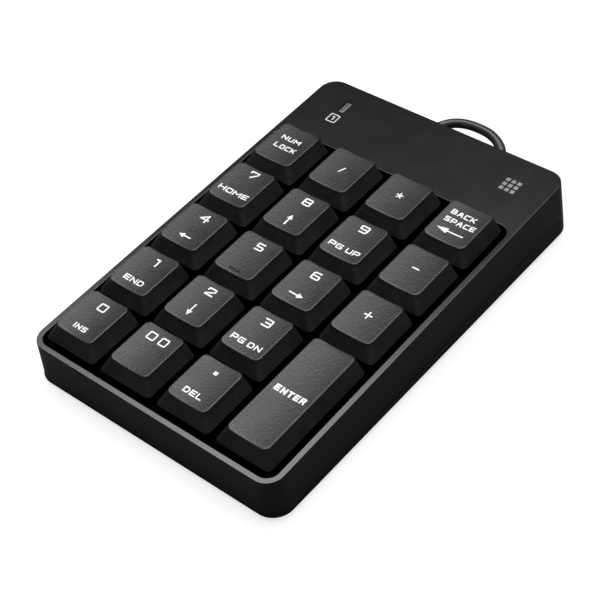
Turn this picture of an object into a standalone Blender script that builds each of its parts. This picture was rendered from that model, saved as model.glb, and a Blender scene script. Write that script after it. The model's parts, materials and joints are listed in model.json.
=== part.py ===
"""Corded numeric keypad: a two-shell wedge case with nineteen membrane keys in a sunken well.

Two frames are used. The world frame has +Z up, +X to the user's right and +Y away from the user,
with its origin at the centre of the case's flat underside. The deck frame is the world frame raised
to the middle of the deck's top face and tilted back, so the keys travel along the deck's own Z.
All parts that follow the deck are children of the empty "deck_frame".
"""

import math

import bmesh
import bpy
from mathutils import Matrix, Vector

MM = 0.001
GAP = 0.3 * MM  # clearance between pieces that touch or rest on each other
REACH = 2.0 * MM  # how far a cutter runs past the faces it cuts through
NUDGE = 0.5 * MM  # a shorter overrun, where a long one would cut a neighbour

SHARP_ANGLE = math.radians(35)  # edges turned further than this stay sharp

# Case, in the deck frame: z = 0 is the deck's top face.
DECK_TILT = math.radians(2.0)
DECK_HEIGHT = 14.95 * MM  # deck face above the underside, at the middle
CASE_HALF_X = 40.2 * MM
CASE_HALF_Y = 61.3 * MM
CASE_CORNER = 5.0 * MM
CASE_FLARE = 0.06  # how far the side walls lean out, per unit of depth
CORNER_GROWTH = 0.06  # how the corner radius grows, per unit of depth
CORNER_STEPS = 4
EDGE_ROUND = 0.5 * MM
EDGE_STEPS = 2
SEAM_Z = -10.1 * MM
WALL = 1.8 * MM
DECK_THICK = 1.8 * MM
FLOOR_THICK = 1.2 * MM

# Key grid. Row 0 is the rear row and column 0 the left one.
PITCH = 19.05 * MM
GRID_Y = -11.3 * MM
ROWS = 5
COLUMNS = 4
TRAVEL = 2.8 * MM  # how far a key goes down

# Key well.
WELL_HALF_X = 38.6 * MM
WELL_FRONT = -59.7 * MM
WELL_REAR = 37.1 * MM
WELL_CORNER = 3.4 * MM
WELL_FLOOR_Z = -3.2 * MM
WELL_FLOOR_THICK = 1.2 * MM
WELL_BACK_WALL = 1.4 * MM

# Keycap. The skirt's bottom edge stands just above the deck.
CAP_BASE_Z = 0.3 * MM
CAP_TOP_Z = 4.5 * MM
CAP_BASE_HALF = (8.5 * MM, 8.55 * MM)
CAP_TOP_HALF = (6.3 * MM, 7.25 * MM)
CAP_TOP_SHIFT_Y = 1.1 * MM
CAP_BASE_CORNER = 1.2 * MM
CAP_TOP_CORNER = 1.5 * MM
CAP_CORNER_STEPS = 2
CAP_EDGE = 0.25 * MM  # chamfer round the top
CAP_EDGE_START = 0.95  # share of the cap's height where the chamfer starts
CAP_WALL = 1.15 * MM
CAP_CEILING_Z = 3.0 * MM
DISH_RADIUS = 44.0 * MM
DISH_DEPTH = 0.45 * MM
DISH_STEPS = 96
HOMING_BAR = (1.9 * MM, 0.25 * MM, 0.3 * MM)  # half length, half width, height
HOMING_BAR_Y = -5.7 * MM

# Stem and the guide sleeve that it slides in.
STEM_HALF = 2.5 * MM
STEM_END_Z = -5.3 * MM
BARB_HALF_X = 3.2 * MM
BARB_HALF_Y = 1.1 * MM
BARB_TOP_Z = -4.9 * MM
SLEEVE_HALF = 3.7 * MM
SLEEVE_TOP_Z = -0.9 * MM
SLEEVE_END_Z = -4.6 * MM

# Rubber dome sheet.
SHEET_HALF_X = 37.2 * MM
SHEET_FRONT = -58.6 * MM
SHEET_REAR = 36.2 * MM
DOME_TOP_Z = STEM_END_Z - GAP
DOME_LEFT = 0.2 * MM  # what is left of a dome's height when its key is down
SHEET_TOP_Z = DOME_TOP_Z - TRAVEL - DOME_LEFT
SHEET_THICK = 0.4 * MM
DOME_BASE_RADIUS = 5.6 * MM
DOME_TOP_RADIUS = 2.9 * MM
DOME_SKIN = 0.6 * MM
DOME_CAP = 0.9 * MM
DOME_STEPS = 10

# Switch foil: three layers, each with a tail to the board.
FOIL_THICK = 0.2 * MM
UPPER_FOIL_Z = -9.3 * MM
SPACER_FOIL_Z = -9.8 * MM
LOWER_FOIL_Z = -10.3 * MM
CONTACT_RADIUS = 2.6 * MM
TAIL_X = (-20.5 * MM, -5.5 * MM)
TAIL_END = 46.0 * MM
PLATE_TOP_Z = -10.8 * MM
PLATE_THICK = 0.6 * MM

# Screw bosses: four between the keys and two in the rear corners.
BOSS_COLUMN_X = PITCH
BOSS_ROWS_Y = (GRID_Y - 1.5 * PITCH, GRID_Y + 1.5 * PITCH)
REAR_BOSS = (35.0 * MM, 55.0 * MM)
BOSS_RADIUS = 2.5 * MM
BOSS_HOLE_RADIUS = 1.3 * MM
BOSS_END_Z = -11.5 * MM
BOSS_HOLE_TOP_Z = -5.2 * MM
BOSS_STEPS = 12
LAYER_HOLE_RADIUS = 3.1 * MM
LAYER_HOLE_STEPS = 8
POST_RADIUS = 4.0 * MM
POST_TOP_Z = BOSS_END_Z - GAP
SCREW_HEAD_RADIUS = 2.5 * MM
SCREW_HEAD_TOP_Z = -12.7 * MM
SCREW_HEAD_HEIGHT = 0.8 * MM
SCREW_RADIUS = 1.0 * MM
SCREW_TIP_Z = -6.3 * MM
RECESS_HALF = (1.4 * MM, 0.35 * MM)
RECESS_DEPTH = 0.5 * MM

# Ribs under the backing plate.
RIB_X = (-28.6 * MM, -9.5 * MM, 9.5 * MM, 28.6 * MM)
RIB_Y = (-44.0 * MM, 34.0 * MM)
RIB_HALF_THICK = 0.6 * MM
RIB_TOP_Z = -11.7 * MM

# Controller board and what stands on it.
BOARD_X = (-30.4 * MM, 19.5 * MM)
BOARD_Y = (39.5 * MM, 56.0 * MM)
BOARD_TOP_Z = -10.8 * MM
BOARD_THICK = 1.6 * MM
CHIP_CENTRE = (4.2 * MM, 50.7 * MM)
CHIP_HALF = (5.1 * MM, 3.7 * MM)
CHIP_HEIGHT = 2.2 * MM
CHIP_LEG_ROWS = 6
CHIP_LEG_REACH = 1.2 * MM
HEADER_HALF = (4.6 * MM, 2.4 * MM)
HEADER_Y = 52.2 * MM
HEADER_HEIGHT = 4.6 * MM
HEADER_WALL = 0.8 * MM
HEADER_WELL_DEPTH = 2.2 * MM
CLAMP_X = (-24.6 * MM, -1.4 * MM)
CLAMP_Y = (41.0 * MM, 45.6 * MM)
CLAMP_Z = (-9.0 * MM, -6.8 * MM)
CLAMP_SCREWS_X = (-22.7 * MM, -3.3 * MM)
CLAMP_SCREW_Y = 43.3 * MM
CLAMP_SCREW_RADIUS = 0.8 * MM
CLAMP_HEAD_RADIUS = 1.8 * MM
CLAMP_HEAD_HEIGHT = 1.0 * MM
CLAMP_SCREW_END_Z = -14.6 * MM
BOARD_POST_RADIUS = 2.3 * MM
BOARD_PADS = ((-29.0 * MM, 53.5 * MM), (17.5 * MM, 45.0 * MM))

# Status light: an LED on the board and a light pipe in the deck's slot.
LIGHT_X = -28.3 * MM
LIGHT_Y = 52.6 * MM
SLOT_HALF = (0.75 * MM, 2.3 * MM)
PIPE_TOP_Z = -0.3 * MM
PIPE_FLANGE_HALF = (1.3 * MM, 2.9 * MM)
PIPE_FLANGE_Z = (-3.0 * MM, -2.1 * MM)
LED_HALF = (1.1 * MM, 1.9 * MM)
LED_Z = (-7.6 * MM, -3.3 * MM)
LED_LEG_HALF = 0.25 * MM
LED_LEG_Y = 1.27 * MM

# Stabiliser wire of the double-height key, hinged on two lugs that stand on the well's floor.
WIRE_RADIUS = 0.6 * MM
WIRE_STEPS = 8
WIRE_ARM_X = 4.2 * MM  # hinge axis and cap hooks, each side of the key's centre
WIRE_HINGE_Z = -1.6 * MM
WIRE_BAR_Z = 1.2 * MM
WIRE_HALF_Y = 12.0 * MM
WIRE_TIP = 3.1 * MM
WIRE_BEND = 1.3 * MM
LUG_HALF = (1.4 * MM, 0.8 * MM)
LUG_OFFSET_Y = 13.9 * MM
LUG_TOP_Z = -0.7 * MM
HOOK_Y = 7.0 * MM
HOOK_HALF_Y = 0.7 * MM
HOOK_X = (2.6 * MM, 6.0 * MM)
HOOK_END_Z = -0.2 * MM
HOOK_SLOT_X = (3.3 * MM, 5.55 * MM)
HOOK_SLOT_Z = (0.3 * MM, 2.1 * MM)

# Feet, in the world frame: discs that stand proud of the underside in round pockets.
FOOT_RADIUS = 4.5 * MM
FOOT_PROUD = 0.8 * MM
FOOT_SUNK = 0.4 * MM
FOOT_POCKET = 0.7 * MM
FOOT_CHAMFER = 0.2 * MM
FOOT_STEPS = 20
FRONT_FEET = (31.0 * MM, -51.0 * MM)
REAR_FEET = (25.5 * MM, 52.5 * MM)

# Cable, strain relief and plug.
CABLE_RADIUS = 1.4 * MM
CABLE_X = 14.5 * MM
CABLE_Z = SEAM_Z
CABLE_STEPS = 8
CABLE_SPAN_PIECES = 4  # straight pieces between two points of the centre line
STRIPPED_POINTS = 2  # centre-line points on the bare conductors, at the header
CONDUCTORS_SCALE = 0.55  # the bare conductors' radius against the jacket's
NOTCH_RADIUS = 3.3 * MM
BORE_RADIUS = CABLE_RADIUS + GAP
BOOT_STEPS = 16
BOOT_FLANGE = 1.2 * MM  # how far the inner flange stands out from the neck
BOOT_FLANGE_THICK = 1.2 * MM
BOOT_COLLAR = 0.4 * MM
BOOT_LENGTH = 3.2 * MM
BOOT_TAPER = 0.8 * MM

# The cable's loop behind the case: x, distance behind the deck's rear edge, deck-frame z.
CABLE_LOOP = (
    (CABLE_X, -2.6 * MM, CABLE_Z),
    (CABLE_X, 4.6 * MM, CABLE_Z),
    (12.0 * MM, 8.3 * MM, -10.0 * MM),
    (6.6 * MM, 10.9 * MM, -9.8 * MM),
    (0.0 * MM, 11.6 * MM, -10.0 * MM),
    (-5.0 * MM, 11.3 * MM, -10.4 * MM),
    (-8.8 * MM, 9.0 * MM, -11.2 * MM),
)

# Plug, in the world frame: it lies on its narrow edge along the rear wall and points to -X.
PLUG_Y = 65.9 * MM
PLUG_Z = 4.7 * MM
PLUG_START_X = -15.8 * MM
CABLE_ENTRY = (4.2 * MM, 1.2 * MM, 0.3 * MM)  # last bend of the cable, from the grip's end
GRIP_LENGTH = 17.5 * MM
GRIP_HALF = (2.5 * MM, 5.2 * MM)
GRIP_CORNER = 2.0 * MM
GRIP_SOFT = 0.6 * MM  # how much the ends of the grip are drawn in
GRIP_TAPER = (3.0 * MM, 5.0 * MM)  # where the taper at the cable's end slows and stops
PLUG_SHELL_HALF = (1.2 * MM, 4.15 * MM)
PLUG_SHELL_WALL = 0.3 * MM
PLUG_SHELL_LENGTH = 6.6 * MM
PLUG_SHELL_BACK = 1.0 * MM
FULL_ROUND_MARGIN = 0.02 * MM  # keeps a short straight between two full rounds

KEY_NAMES = (
    ("num_lock", "divide", "multiply", "backspace"),
    ("7", "8", "9", "minus"),
    ("4", "5", "6", "plus"),
    ("1", "2", "3"),
    ("0", "00", "decimal"),
)
ENTER_AT = (3, 3.5)  # column, and the row halfway between the last two


# ---------------------------------------------------------------- helpers


def clear_scene():
    for obj in list(bpy.data.objects):
        bpy.data.objects.remove(obj)


def material(name, colour, roughness, metallic=0.0):
    made = bpy.data.materials.new(name)
    made.use_nodes = True
    shader = made.node_tree.nodes["Principled BSDF"]
    shader.inputs["Base Color"].default_value = (*colour, 1.0)
    shader.inputs["Roughness"].default_value = roughness
    shader.inputs["Metallic"].default_value = metallic
    made.diffuse_color = (*colour, 1.0)
    return made


def mesh_from(name, bm):
    bmesh.ops.recalc_face_normals(bm, faces=bm.faces)
    mesh = bpy.data.meshes.new(name)
    bm.to_mesh(mesh)
    bm.free()
    return mesh


def add_node(name, mesh, look, parent=None, location=(0, 0, 0)):
    """One named piece of the keypad."""
    obj = bpy.data.objects.new(name, mesh)
    bpy.context.scene.collection.objects.link(obj)
    obj.parent = parent
    obj.location = location
    if not mesh.materials:
        mesh.materials.append(look)
    return obj


def add_helper(name, mesh, parent=None):
    """A solid that only shapes other pieces."""
    obj = bpy.data.objects.new(name, mesh)
    bpy.context.scene.collection.objects.link(obj)
    obj.parent = parent
    obj.hide_render = True
    obj.display_type = "WIRE"
    return obj


def boolean(target, helper, operation):
    modifier = target.modifiers.new(helper.name, "BOOLEAN")
    modifier.operation = operation
    modifier.solver = "EXACT"
    modifier.object = helper


def baked(name, base, steps):
    """The mesh of base after (mesh, operation) Boolean steps, with no modifiers left."""
    target = add_helper(name + "_base", base)
    helpers = [target]
    for number, (mesh, operation) in enumerate(steps):
        helper = add_helper(f"{name}_tool_{number}", mesh)
        boolean(target, helper, operation)
        helpers.append(helper)
    bpy.context.view_layer.update()
    graph = bpy.context.evaluated_depsgraph_get()
    mesh = bpy.data.meshes.new_from_object(target.evaluated_get(graph))
    mesh.name = name
    for helper in helpers:
        bpy.data.objects.remove(helper)
    return mesh


def rounded_rectangle(half_x, half_y, radius, steps, centre=(0, 0)):
    """Points of a rounded rectangle, counter-clockwise seen from +Z."""
    points = []
    for quarter, (side_x, side_y) in enumerate(((1, 1), (-1, 1), (-1, -1), (1, -1))):
        for step in range(steps + 1):
            angle = (quarter + step / steps) * math.pi / 2
            x = centre[0] + side_x * (half_x - radius) + radius * math.cos(angle)
            y = centre[1] + side_y * (half_y - radius) + radius * math.sin(angle)
            points.append((x, y))
    return points


def circle(radius, steps, centre=(0, 0)):
    turn = 2 * math.pi / steps
    return [
        (centre[0] + radius * math.cos(turn * k), centre[1] + radius * math.sin(turn * k))
        for k in range(steps)
    ]


def add_loft(bm, rings):
    """A closed body through rings of equally many (x, y, z) points."""
    loops = [[bm.verts.new(point) for point in ring] for ring in rings]
    for lower, upper in zip(loops, loops[1:]):
        for k, vert in enumerate(lower):
            after = (k + 1) % len(lower)
            bm.faces.new((vert, lower[after], upper[after], upper[k]))
    bm.faces.new(loops[0])
    bm.faces.new(loops[-1])


def flat_ring(outline, z):
    return [(x, y, z) for x, y in outline]


def add_prism(bm, outline, low_z, high_z):
    add_loft(bm, [flat_ring(outline, low_z), flat_ring(outline, high_z)])


def add_box(bm, low, high):
    outline = ((low[0], low[1]), (high[0], low[1]), (high[0], high[1]), (low[0], high[1]))
    add_prism(bm, outline, low[2], high[2])


def prism_mesh(name, outlines, low_z, high_z):
    bm = bmesh.new()
    for outline in outlines:
        add_prism(bm, outline, low_z, high_z)
    return mesh_from(name, bm)


def shade_smooth(mesh):
    mesh.shade_smooth()
    mesh.set_sharp_from_angle(angle=SHARP_ANGLE)


def underside_z(y):
    """Deck-frame height of the case's flat underside at a deck-frame y."""
    return -DECK_HEIGHT / math.cos(DECK_TILT) - y * math.tan(DECK_TILT)


def in_world(x, y, z):
    """A deck-frame point in the world frame."""
    return Matrix.Translation((0, 0, DECK_HEIGHT)) @ Matrix.Rotation(DECK_TILT, 4, "X") @ Vector((x, y, z))


def key_centre(column, row):
    return (column - (COLUMNS - 1) / 2) * PITCH, GRID_Y + ((ROWS - 1) / 2 - row) * PITCH


def all_keys():
    """(name, centre x, centre y) of every key, the double-height one last."""
    for row, names in enumerate(KEY_NAMES):
        for column, name in enumerate(names):
            yield (name, *key_centre(column, row))
    yield ("enter", *key_centre(*ENTER_AT))


def boss_centres():
    for side in (-1, 1):
        for y in BOSS_ROWS_Y:
            yield side * BOSS_COLUMN_X, y
        yield side * REAR_BOSS[0], REAR_BOSS[1]


def layer_bosses():
    """The bosses that pass through the dome sheet, the foil and the backing plate."""
    return [(x, y) for x, y in boss_centres() if y < WELL_REAR]


# ---------------------------------------------------------------- case


def case_outline(z, inset=0.0):
    """Outline of the case's outer wall at a deck-frame depth, moved in by inset."""
    growth = -z * CASE_FLARE - inset
    radius = CASE_CORNER - z * CORNER_GROWTH - inset
    return rounded_rectangle(CASE_HALF_X + growth, CASE_HALF_Y + growth, radius, CORNER_STEPS)


def sloped_ring(inset, lift):
    """Case outline at the underside, raised by lift, following the underside's slope."""
    depth = -DECK_HEIGHT
    return [(x, y, underside_z(y) + lift) for x, y in case_outline(depth, inset)]


def well_outline():
    half_y = (WELL_REAR - WELL_FRONT) / 2
    centre = (0, (WELL_REAR + WELL_FRONT) / 2)
    return rounded_rectangle(WELL_HALF_X, half_y, WELL_CORNER, CORNER_STEPS, centre)


def square(half, x, y):
    return [(x - half, y - half), (x + half, y - half), (x + half, y + half), (x - half, y + half)]


def top_case_body():
    """A block down to the seam, with its top edge rounded off."""
    bm = bmesh.new()
    rings = []
    for step in range(EDGE_STEPS + 1):
        angle = step / EDGE_STEPS * math.pi / 2
        z = EDGE_ROUND * (math.cos(angle) - 1)
        rings.append(flat_ring(case_outline(z, EDGE_ROUND * (1 - math.sin(angle))), z))
    seam = SEAM_Z + GAP / 2
    rings.append(flat_ring(case_outline(seam), seam))
    add_loft(bm, rings)
    return mesh_from("top_case", bm)


def lower_cavity():
    """Everything under the well's floor."""
    bm = bmesh.new()
    low = SEAM_Z - REACH
    high = WELL_FLOOR_Z - WELL_FLOOR_THICK
    add_loft(bm, [flat_ring(case_outline(low, WALL), low), flat_ring(case_outline(high, WALL), high)])
    return mesh_from("lower_cavity", bm)


def rear_bay():
    """The room under the deck strip, open to the lower cavity."""
    front = WELL_REAR + WELL_BACK_WALL
    rear = CASE_HALF_Y - WALL
    centre = (0, (front + rear) / 2)
    outline = rounded_rectangle(CASE_HALF_X - WALL, (rear - front) / 2, WELL_CORNER, CORNER_STEPS, centre)
    low = WELL_FLOOR_Z - WELL_FLOOR_THICK - NUDGE
    return prism_mesh("rear_bay", [outline], low, -DECK_THICK)


def guide_sleeves():
    """Square sleeves round the stems, the two lugs of the stabiliser wire and the screw bosses."""
    bm = bmesh.new()
    for _, x, y in all_keys():
        add_prism(bm, square(SLEEVE_HALF, x, y), SLEEVE_END_Z, SLEEVE_TOP_Z)
    enter_x, enter_y = key_centre(*ENTER_AT)
    hinge_x = enter_x - WIRE_ARM_X
    inside_floor = WELL_FLOOR_Z - WELL_FLOOR_THICK / 2
    for side in (-1, 1):
        lug_y = enter_y + side * LUG_OFFSET_Y
        low = (hinge_x - LUG_HALF[0], lug_y - LUG_HALF[1], inside_floor)
        high = (hinge_x + LUG_HALF[0], lug_y + LUG_HALF[1], LUG_TOP_Z)
        add_box(bm, low, high)
    for x, y in boss_centres():
        top = inside_floor if y < WELL_REAR else -DECK_THICK / 2
        add_prism(bm, circle(BOSS_RADIUS, BOSS_STEPS, (x, y)), BOSS_END_Z, top)
    return mesh_from("guide_sleeves", bm)


def top_case_holes():
    """Stem holes, blind screw holes, the light's slot, the wire's bearings and the cable's notch."""
    bm = bmesh.new()
    for _, x, y in all_keys():
        add_prism(bm, square(STEM_HALF + GAP, x, y), SLEEVE_END_Z - REACH, SLEEVE_TOP_Z + REACH)
    for x, y in boss_centres():
        outline = circle(BOSS_HOLE_RADIUS, BOSS_STEPS, (x, y))
        add_prism(bm, outline, BOSS_END_Z - REACH, BOSS_HOLE_TOP_Z)
    low = (LIGHT_X - SLOT_HALF[0], LIGHT_Y - SLOT_HALF[1], -DECK_THICK - NUDGE)
    high = (LIGHT_X + SLOT_HALF[0], LIGHT_Y + SLOT_HALF[1], REACH)
    add_box(bm, low, high)
    enter_x, enter_y = key_centre(*ENTER_AT)
    for side in (-1, 1):
        centre = (enter_x - WIRE_ARM_X, enter_y + side * LUG_OFFSET_Y, WIRE_HINGE_Z)
        add_rod_along_y(bm, centre, WIRE_RADIUS + GAP, LUG_HALF[1] + NUDGE, BOSS_STEPS)
    add_rod_along_y(bm, (CABLE_X, CASE_HALF_Y, CABLE_Z), NOTCH_RADIUS, WALL + REACH, BOOT_STEPS)
    return mesh_from("top_case_holes", bm)


def add_rod_along_y(bm, centre, radius, half_length, steps):
    ring = circle(radius, steps, (centre[0], centre[2]))
    ends = [centre[1] - half_length, centre[1] + half_length]
    add_loft(bm, [[(x, end, z) for x, z in ring] for end in ends])


def make_top_case(deck, look):
    case = add_node("top_case", top_case_body(), look, deck)
    well = prism_mesh("well", [well_outline()], WELL_FLOOR_Z, REACH)
    boolean(case, add_helper("cut_lower_cavity", lower_cavity(), deck), "DIFFERENCE")
    boolean(case, add_helper("cut_rear_bay", rear_bay(), deck), "DIFFERENCE")
    boolean(case, add_helper("cut_well", well, deck), "DIFFERENCE")
    boolean(case, add_helper("add_sleeves", guide_sleeves(), deck), "UNION")
    boolean(case, add_helper("cut_top_holes", top_case_holes(), deck), "DIFFERENCE")


def bottom_case_body():
    bm = bmesh.new()
    high = SEAM_Z - GAP / 2
    add_loft(bm, [sloped_ring(0, 0), flat_ring(case_outline(high), high)])
    return mesh_from("bottom_case", bm)


def bottom_cavity():
    bm = bmesh.new()
    high = SEAM_Z + REACH
    add_loft(bm, [sloped_ring(WALL, FLOOR_THICK), flat_ring(case_outline(high, WALL), high)])
    return mesh_from("bottom_cavity", bm)


def add_post(bm, x, y, radius, top_z):
    """A round post that starts inside the floor."""
    add_prism(bm, circle(radius, BOSS_STEPS, (x, y)), underside_z(y) + FLOOR_THICK / 2, top_z)


def posts_and_ribs():
    bm = bmesh.new()
    board_low = BOARD_TOP_Z - BOARD_THICK - GAP
    for x, y in boss_centres():
        add_post(bm, x, y, POST_RADIUS, POST_TOP_Z)
    for x in CLAMP_SCREWS_X:
        add_post(bm, x, CLAMP_SCREW_Y, BOARD_POST_RADIUS, board_low)
    for x, y in BOARD_PADS:
        add_post(bm, x, y, BOARD_POST_RADIUS, board_low)
    for x in RIB_X:
        sides = (x - RIB_HALF_THICK, x + RIB_HALF_THICK)
        outline = ((sides[0], RIB_Y[0]), (sides[1], RIB_Y[0]), (sides[1], RIB_Y[1]), (sides[0], RIB_Y[1]))
        foot = [(px, py, underside_z(py) + FLOOR_THICK / 2) for px, py in outline]
        add_loft(bm, [foot, flat_ring(outline, RIB_TOP_Z)])
    return mesh_from("posts_and_ribs", bm)


def counterbores():
    bm = bmesh.new()
    radius = SCREW_HEAD_RADIUS + GAP
    for x, y in boss_centres():
        low = underside_z(y) - REACH
        add_prism(bm, circle(radius, BOSS_STEPS, (x, y)), low, SCREW_HEAD_TOP_Z + GAP)
    return mesh_from("counterbores", bm)


def bottom_case_holes():
    """Screw holes above the counterbores, board screw holes and the cable's notch."""
    bm = bmesh.new()
    for x, y in boss_centres():
        outline = circle(BOSS_HOLE_RADIUS, BOSS_STEPS, (x, y))
        add_prism(bm, outline, SCREW_HEAD_TOP_Z, POST_TOP_Z + REACH)
    for x in CLAMP_SCREWS_X:
        outline = circle(CLAMP_SCREW_RADIUS + GAP, BOSS_STEPS, (x, CLAMP_SCREW_Y))
        add_prism(bm, outline, CLAMP_SCREW_END_Z - GAP, BOARD_TOP_Z)
    add_rod_along_y(bm, (CABLE_X, CASE_HALF_Y, CABLE_Z), NOTCH_RADIUS, WALL + REACH, BOOT_STEPS)
    return mesh_from("bottom_case_holes", bm)


def foot_places():
    for front, (x, y) in (("front", FRONT_FEET), ("rear", REAR_FEET)):
        for side, sign in (("left", -1), ("right", 1)):
            yield f"foot_{front}_{side}", sign * x, y


def foot_pockets():
    outlines = [circle(FOOT_RADIUS + GAP, FOOT_STEPS, (x, y)) for _, x, y in foot_places()]
    return prism_mesh("foot_pockets", outlines, -REACH, FOOT_POCKET)


def make_bottom_case(deck, look):
    case = add_node("bottom_case", bottom_case_body(), look, deck)
    boolean(case, add_helper("cut_bottom_cavity", bottom_cavity(), deck), "DIFFERENCE")
    boolean(case, add_helper("add_posts_and_ribs", posts_and_ribs(), deck), "UNION")
    boolean(case, add_helper("cut_counterbores", counterbores(), deck), "DIFFERENCE")
    boolean(case, add_helper("cut_bottom_holes", bottom_case_holes(), deck), "DIFFERENCE")
    boolean(case, add_helper("cut_foot_pockets", foot_pockets()), "DIFFERENCE")


# ---------------------------------------------------------------- keys


def cap_ring(share, inset, stretch):
    """Cap outline at a share of the way from the skirt's edge to the top, moved in by inset.

    stretch lengthens the key in y, which makes the double-height key.
    """

    def between(low, high):
        return low + (high - low) * share

    half_x = between(CAP_BASE_HALF[0], CAP_TOP_HALF[0]) - inset
    half_y = between(CAP_BASE_HALF[1], CAP_TOP_HALF[1]) + stretch - inset
    radius = between(CAP_BASE_CORNER, CAP_TOP_CORNER) - inset / 2
    centre = (0, CAP_TOP_SHIFT_Y * share)
    outline = rounded_rectangle(half_x, half_y, radius, CAP_CORNER_STEPS, centre)
    return flat_ring(outline, between(CAP_BASE_Z, CAP_TOP_Z))


def cap_body(stretch):
    bm = bmesh.new()
    crown = cap_ring(1, CAP_EDGE, stretch)
    add_loft(bm, [cap_ring(0, 0, stretch), cap_ring(CAP_EDGE_START, 0, stretch), crown])
    return mesh_from("cap_body", bm)


def cap_cavity(stretch):
    bm = bmesh.new()
    share = (CAP_CEILING_Z - CAP_BASE_Z) / (CAP_TOP_Z - CAP_BASE_Z)
    mouth = [(x, y, CAP_BASE_Z - REACH) for x, y, _ in cap_ring(0, CAP_WALL, stretch)]
    add_loft(bm, [mouth, cap_ring(0, CAP_WALL, stretch), cap_ring(share, CAP_WALL, stretch)])
    return mesh_from("cap_cavity", bm)


def dish_cutter(stretch):
    """A drum above the cap whose lowest line sinks DISH_DEPTH into the top."""
    bm = bmesh.new()
    centre = (0, CAP_TOP_SHIFT_Y, CAP_TOP_Z - DISH_DEPTH + DISH_RADIUS)
    half_length = CAP_TOP_HALF[1] + stretch + REACH
    add_rod_along_y(bm, centre, DISH_RADIUS, half_length, DISH_STEPS)
    return mesh_from("dish_cutter", bm)


def stem_mesh():
    """Square stem with a barb on each side that catches under the sleeve."""
    bm = bmesh.new()
    inside_cap = (CAP_CEILING_Z + CAP_TOP_Z - DISH_DEPTH) / 2
    add_prism(bm, square(STEM_HALF, 0, 0), STEM_END_Z, inside_cap)
    return mesh_from("stem", bm)


def barb_mesh():
    bm = bmesh.new()
    add_box(
        bm,
        (-BARB_HALF_X, -BARB_HALF_Y, STEM_END_Z + GAP / 3),
        (BARB_HALF_X, BARB_HALF_Y, BARB_TOP_Z),
    )
    return mesh_from("barb", bm)


def wire_hooks():
    """Two tabs under the double-height cap that hold the stabiliser wire."""
    bm = bmesh.new()
    inside_cap = (CAP_CEILING_Z + CAP_TOP_Z - DISH_DEPTH) / 2
    for side in (-1, 1):
        low = (HOOK_X[0], side * HOOK_Y - HOOK_HALF_Y, HOOK_END_Z)
        high = (HOOK_X[1], side * HOOK_Y + HOOK_HALF_Y, inside_cap)
        add_box(bm, low, high)
    return mesh_from("wire_hooks", bm)


def hook_slots():
    bm = bmesh.new()
    for side in (-1, 1):
        low = (HOOK_SLOT_X[0], side * HOOK_Y - HOOK_HALF_Y - REACH, HOOK_SLOT_Z[0])
        high = (HOOK_SLOT_X[1], side * HOOK_Y + HOOK_HALF_Y + REACH, HOOK_SLOT_Z[1])
        add_box(bm, low, high)
    return mesh_from("hook_slots", bm)


def homing_bar():
    bm = bmesh.new()
    floor_z = CAP_TOP_Z - DISH_DEPTH
    half_x, half_y, height = HOMING_BAR
    y = CAP_TOP_SHIFT_Y + HOMING_BAR_Y
    add_box(bm, (-half_x, y - half_y, floor_z - GAP), (half_x, y + half_y, floor_z + height))
    return mesh_from("homing_bar", bm)


def keycap_mesh(name, look, stretch=0.0, extra=()):
    steps = [
        (cap_cavity(stretch), "DIFFERENCE"),
        (dish_cutter(stretch), "DIFFERENCE"),
        (stem_mesh(), "UNION"),
        (barb_mesh(), "UNION"),
    ]
    mesh = baked(name, cap_body(stretch), steps + list(extra))
    mesh.materials.clear()
    mesh.materials.append(look)
    shade_smooth(mesh)
    return mesh


def make_keys(deck, look):
    plain = keycap_mesh("keycap", look)
    homing = keycap_mesh("keycap_homing", look, extra=[(homing_bar(), "UNION")])
    hooks = [(wire_hooks(), "UNION"), (hook_slots(), "DIFFERENCE")]
    tall = keycap_mesh("keycap_double", look, stretch=PITCH / 2, extra=hooks)
    special = {"5": homing, "enter": tall}
    for name, x, y in all_keys():
        add_node("key_" + name, special.get(name, plain), look, deck, (x, y, 0))


def make_stabilizer(deck, look):
    """A bent wire: two tips on the hinge axis, two arms and a long bar under the cap."""
    x, y = key_centre(*ENTER_AT)
    corners = [
        (0, -WIRE_HALF_Y - WIRE_TIP, 0),
        (0, -WIRE_HALF_Y, 0),
        (2 * WIRE_ARM_X, -WIRE_HALF_Y, WIRE_BAR_Z - WIRE_HINGE_Z),
        (2 * WIRE_ARM_X, WIRE_HALF_Y, WIRE_BAR_Z - WIRE_HINGE_Z),
        (0, WIRE_HALF_Y, 0),
        (0, WIRE_HALF_Y + WIRE_TIP, 0),
    ]
    points = [Vector(corners[0])]
    for before, corner, after in zip(corners, corners[1:], corners[2:]):
        corner = Vector(corner)
        points.append(corner + (Vector(before) - corner).normalized() * WIRE_BEND)
        points.append(corner + (Vector(after) - corner).normalized() * WIRE_BEND)
    points.append(Vector(corners[-1]))
    mesh = tube_mesh("enter_stabilizer_wire", points, [WIRE_RADIUS] * len(points), WIRE_STEPS)
    add_node("enter_stabilizer_wire", mesh, look, deck, (x - WIRE_ARM_X, y, WIRE_HINGE_Z))


def tube_mesh(name, points, radii, steps):
    """A round tube through points, with flat ends. Each ring turns with the path and doesn't twist."""
    bm = bmesh.new()
    heading = (points[1] - points[0]).normalized()
    side = heading.orthogonal().normalized()
    rings = []
    for k, point in enumerate(points):
        before = points[max(k - 1, 0)]
        after = points[min(k + 1, len(points) - 1)]
        turned = (after - before).normalized()
        side = (heading.rotation_difference(turned) @ side).normalized()
        heading = turned
        other = heading.cross(side)
        ring = []
        for x, y in circle(radii[k], steps):
            ring.append(tuple(point + side * x + other * y))
        rings.append(ring)
    add_loft(bm, rings)
    mesh = mesh_from(name, bm)
    shade_smooth(mesh)
    return mesh


# ---------------------------------------------------------------- switch layers


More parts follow.
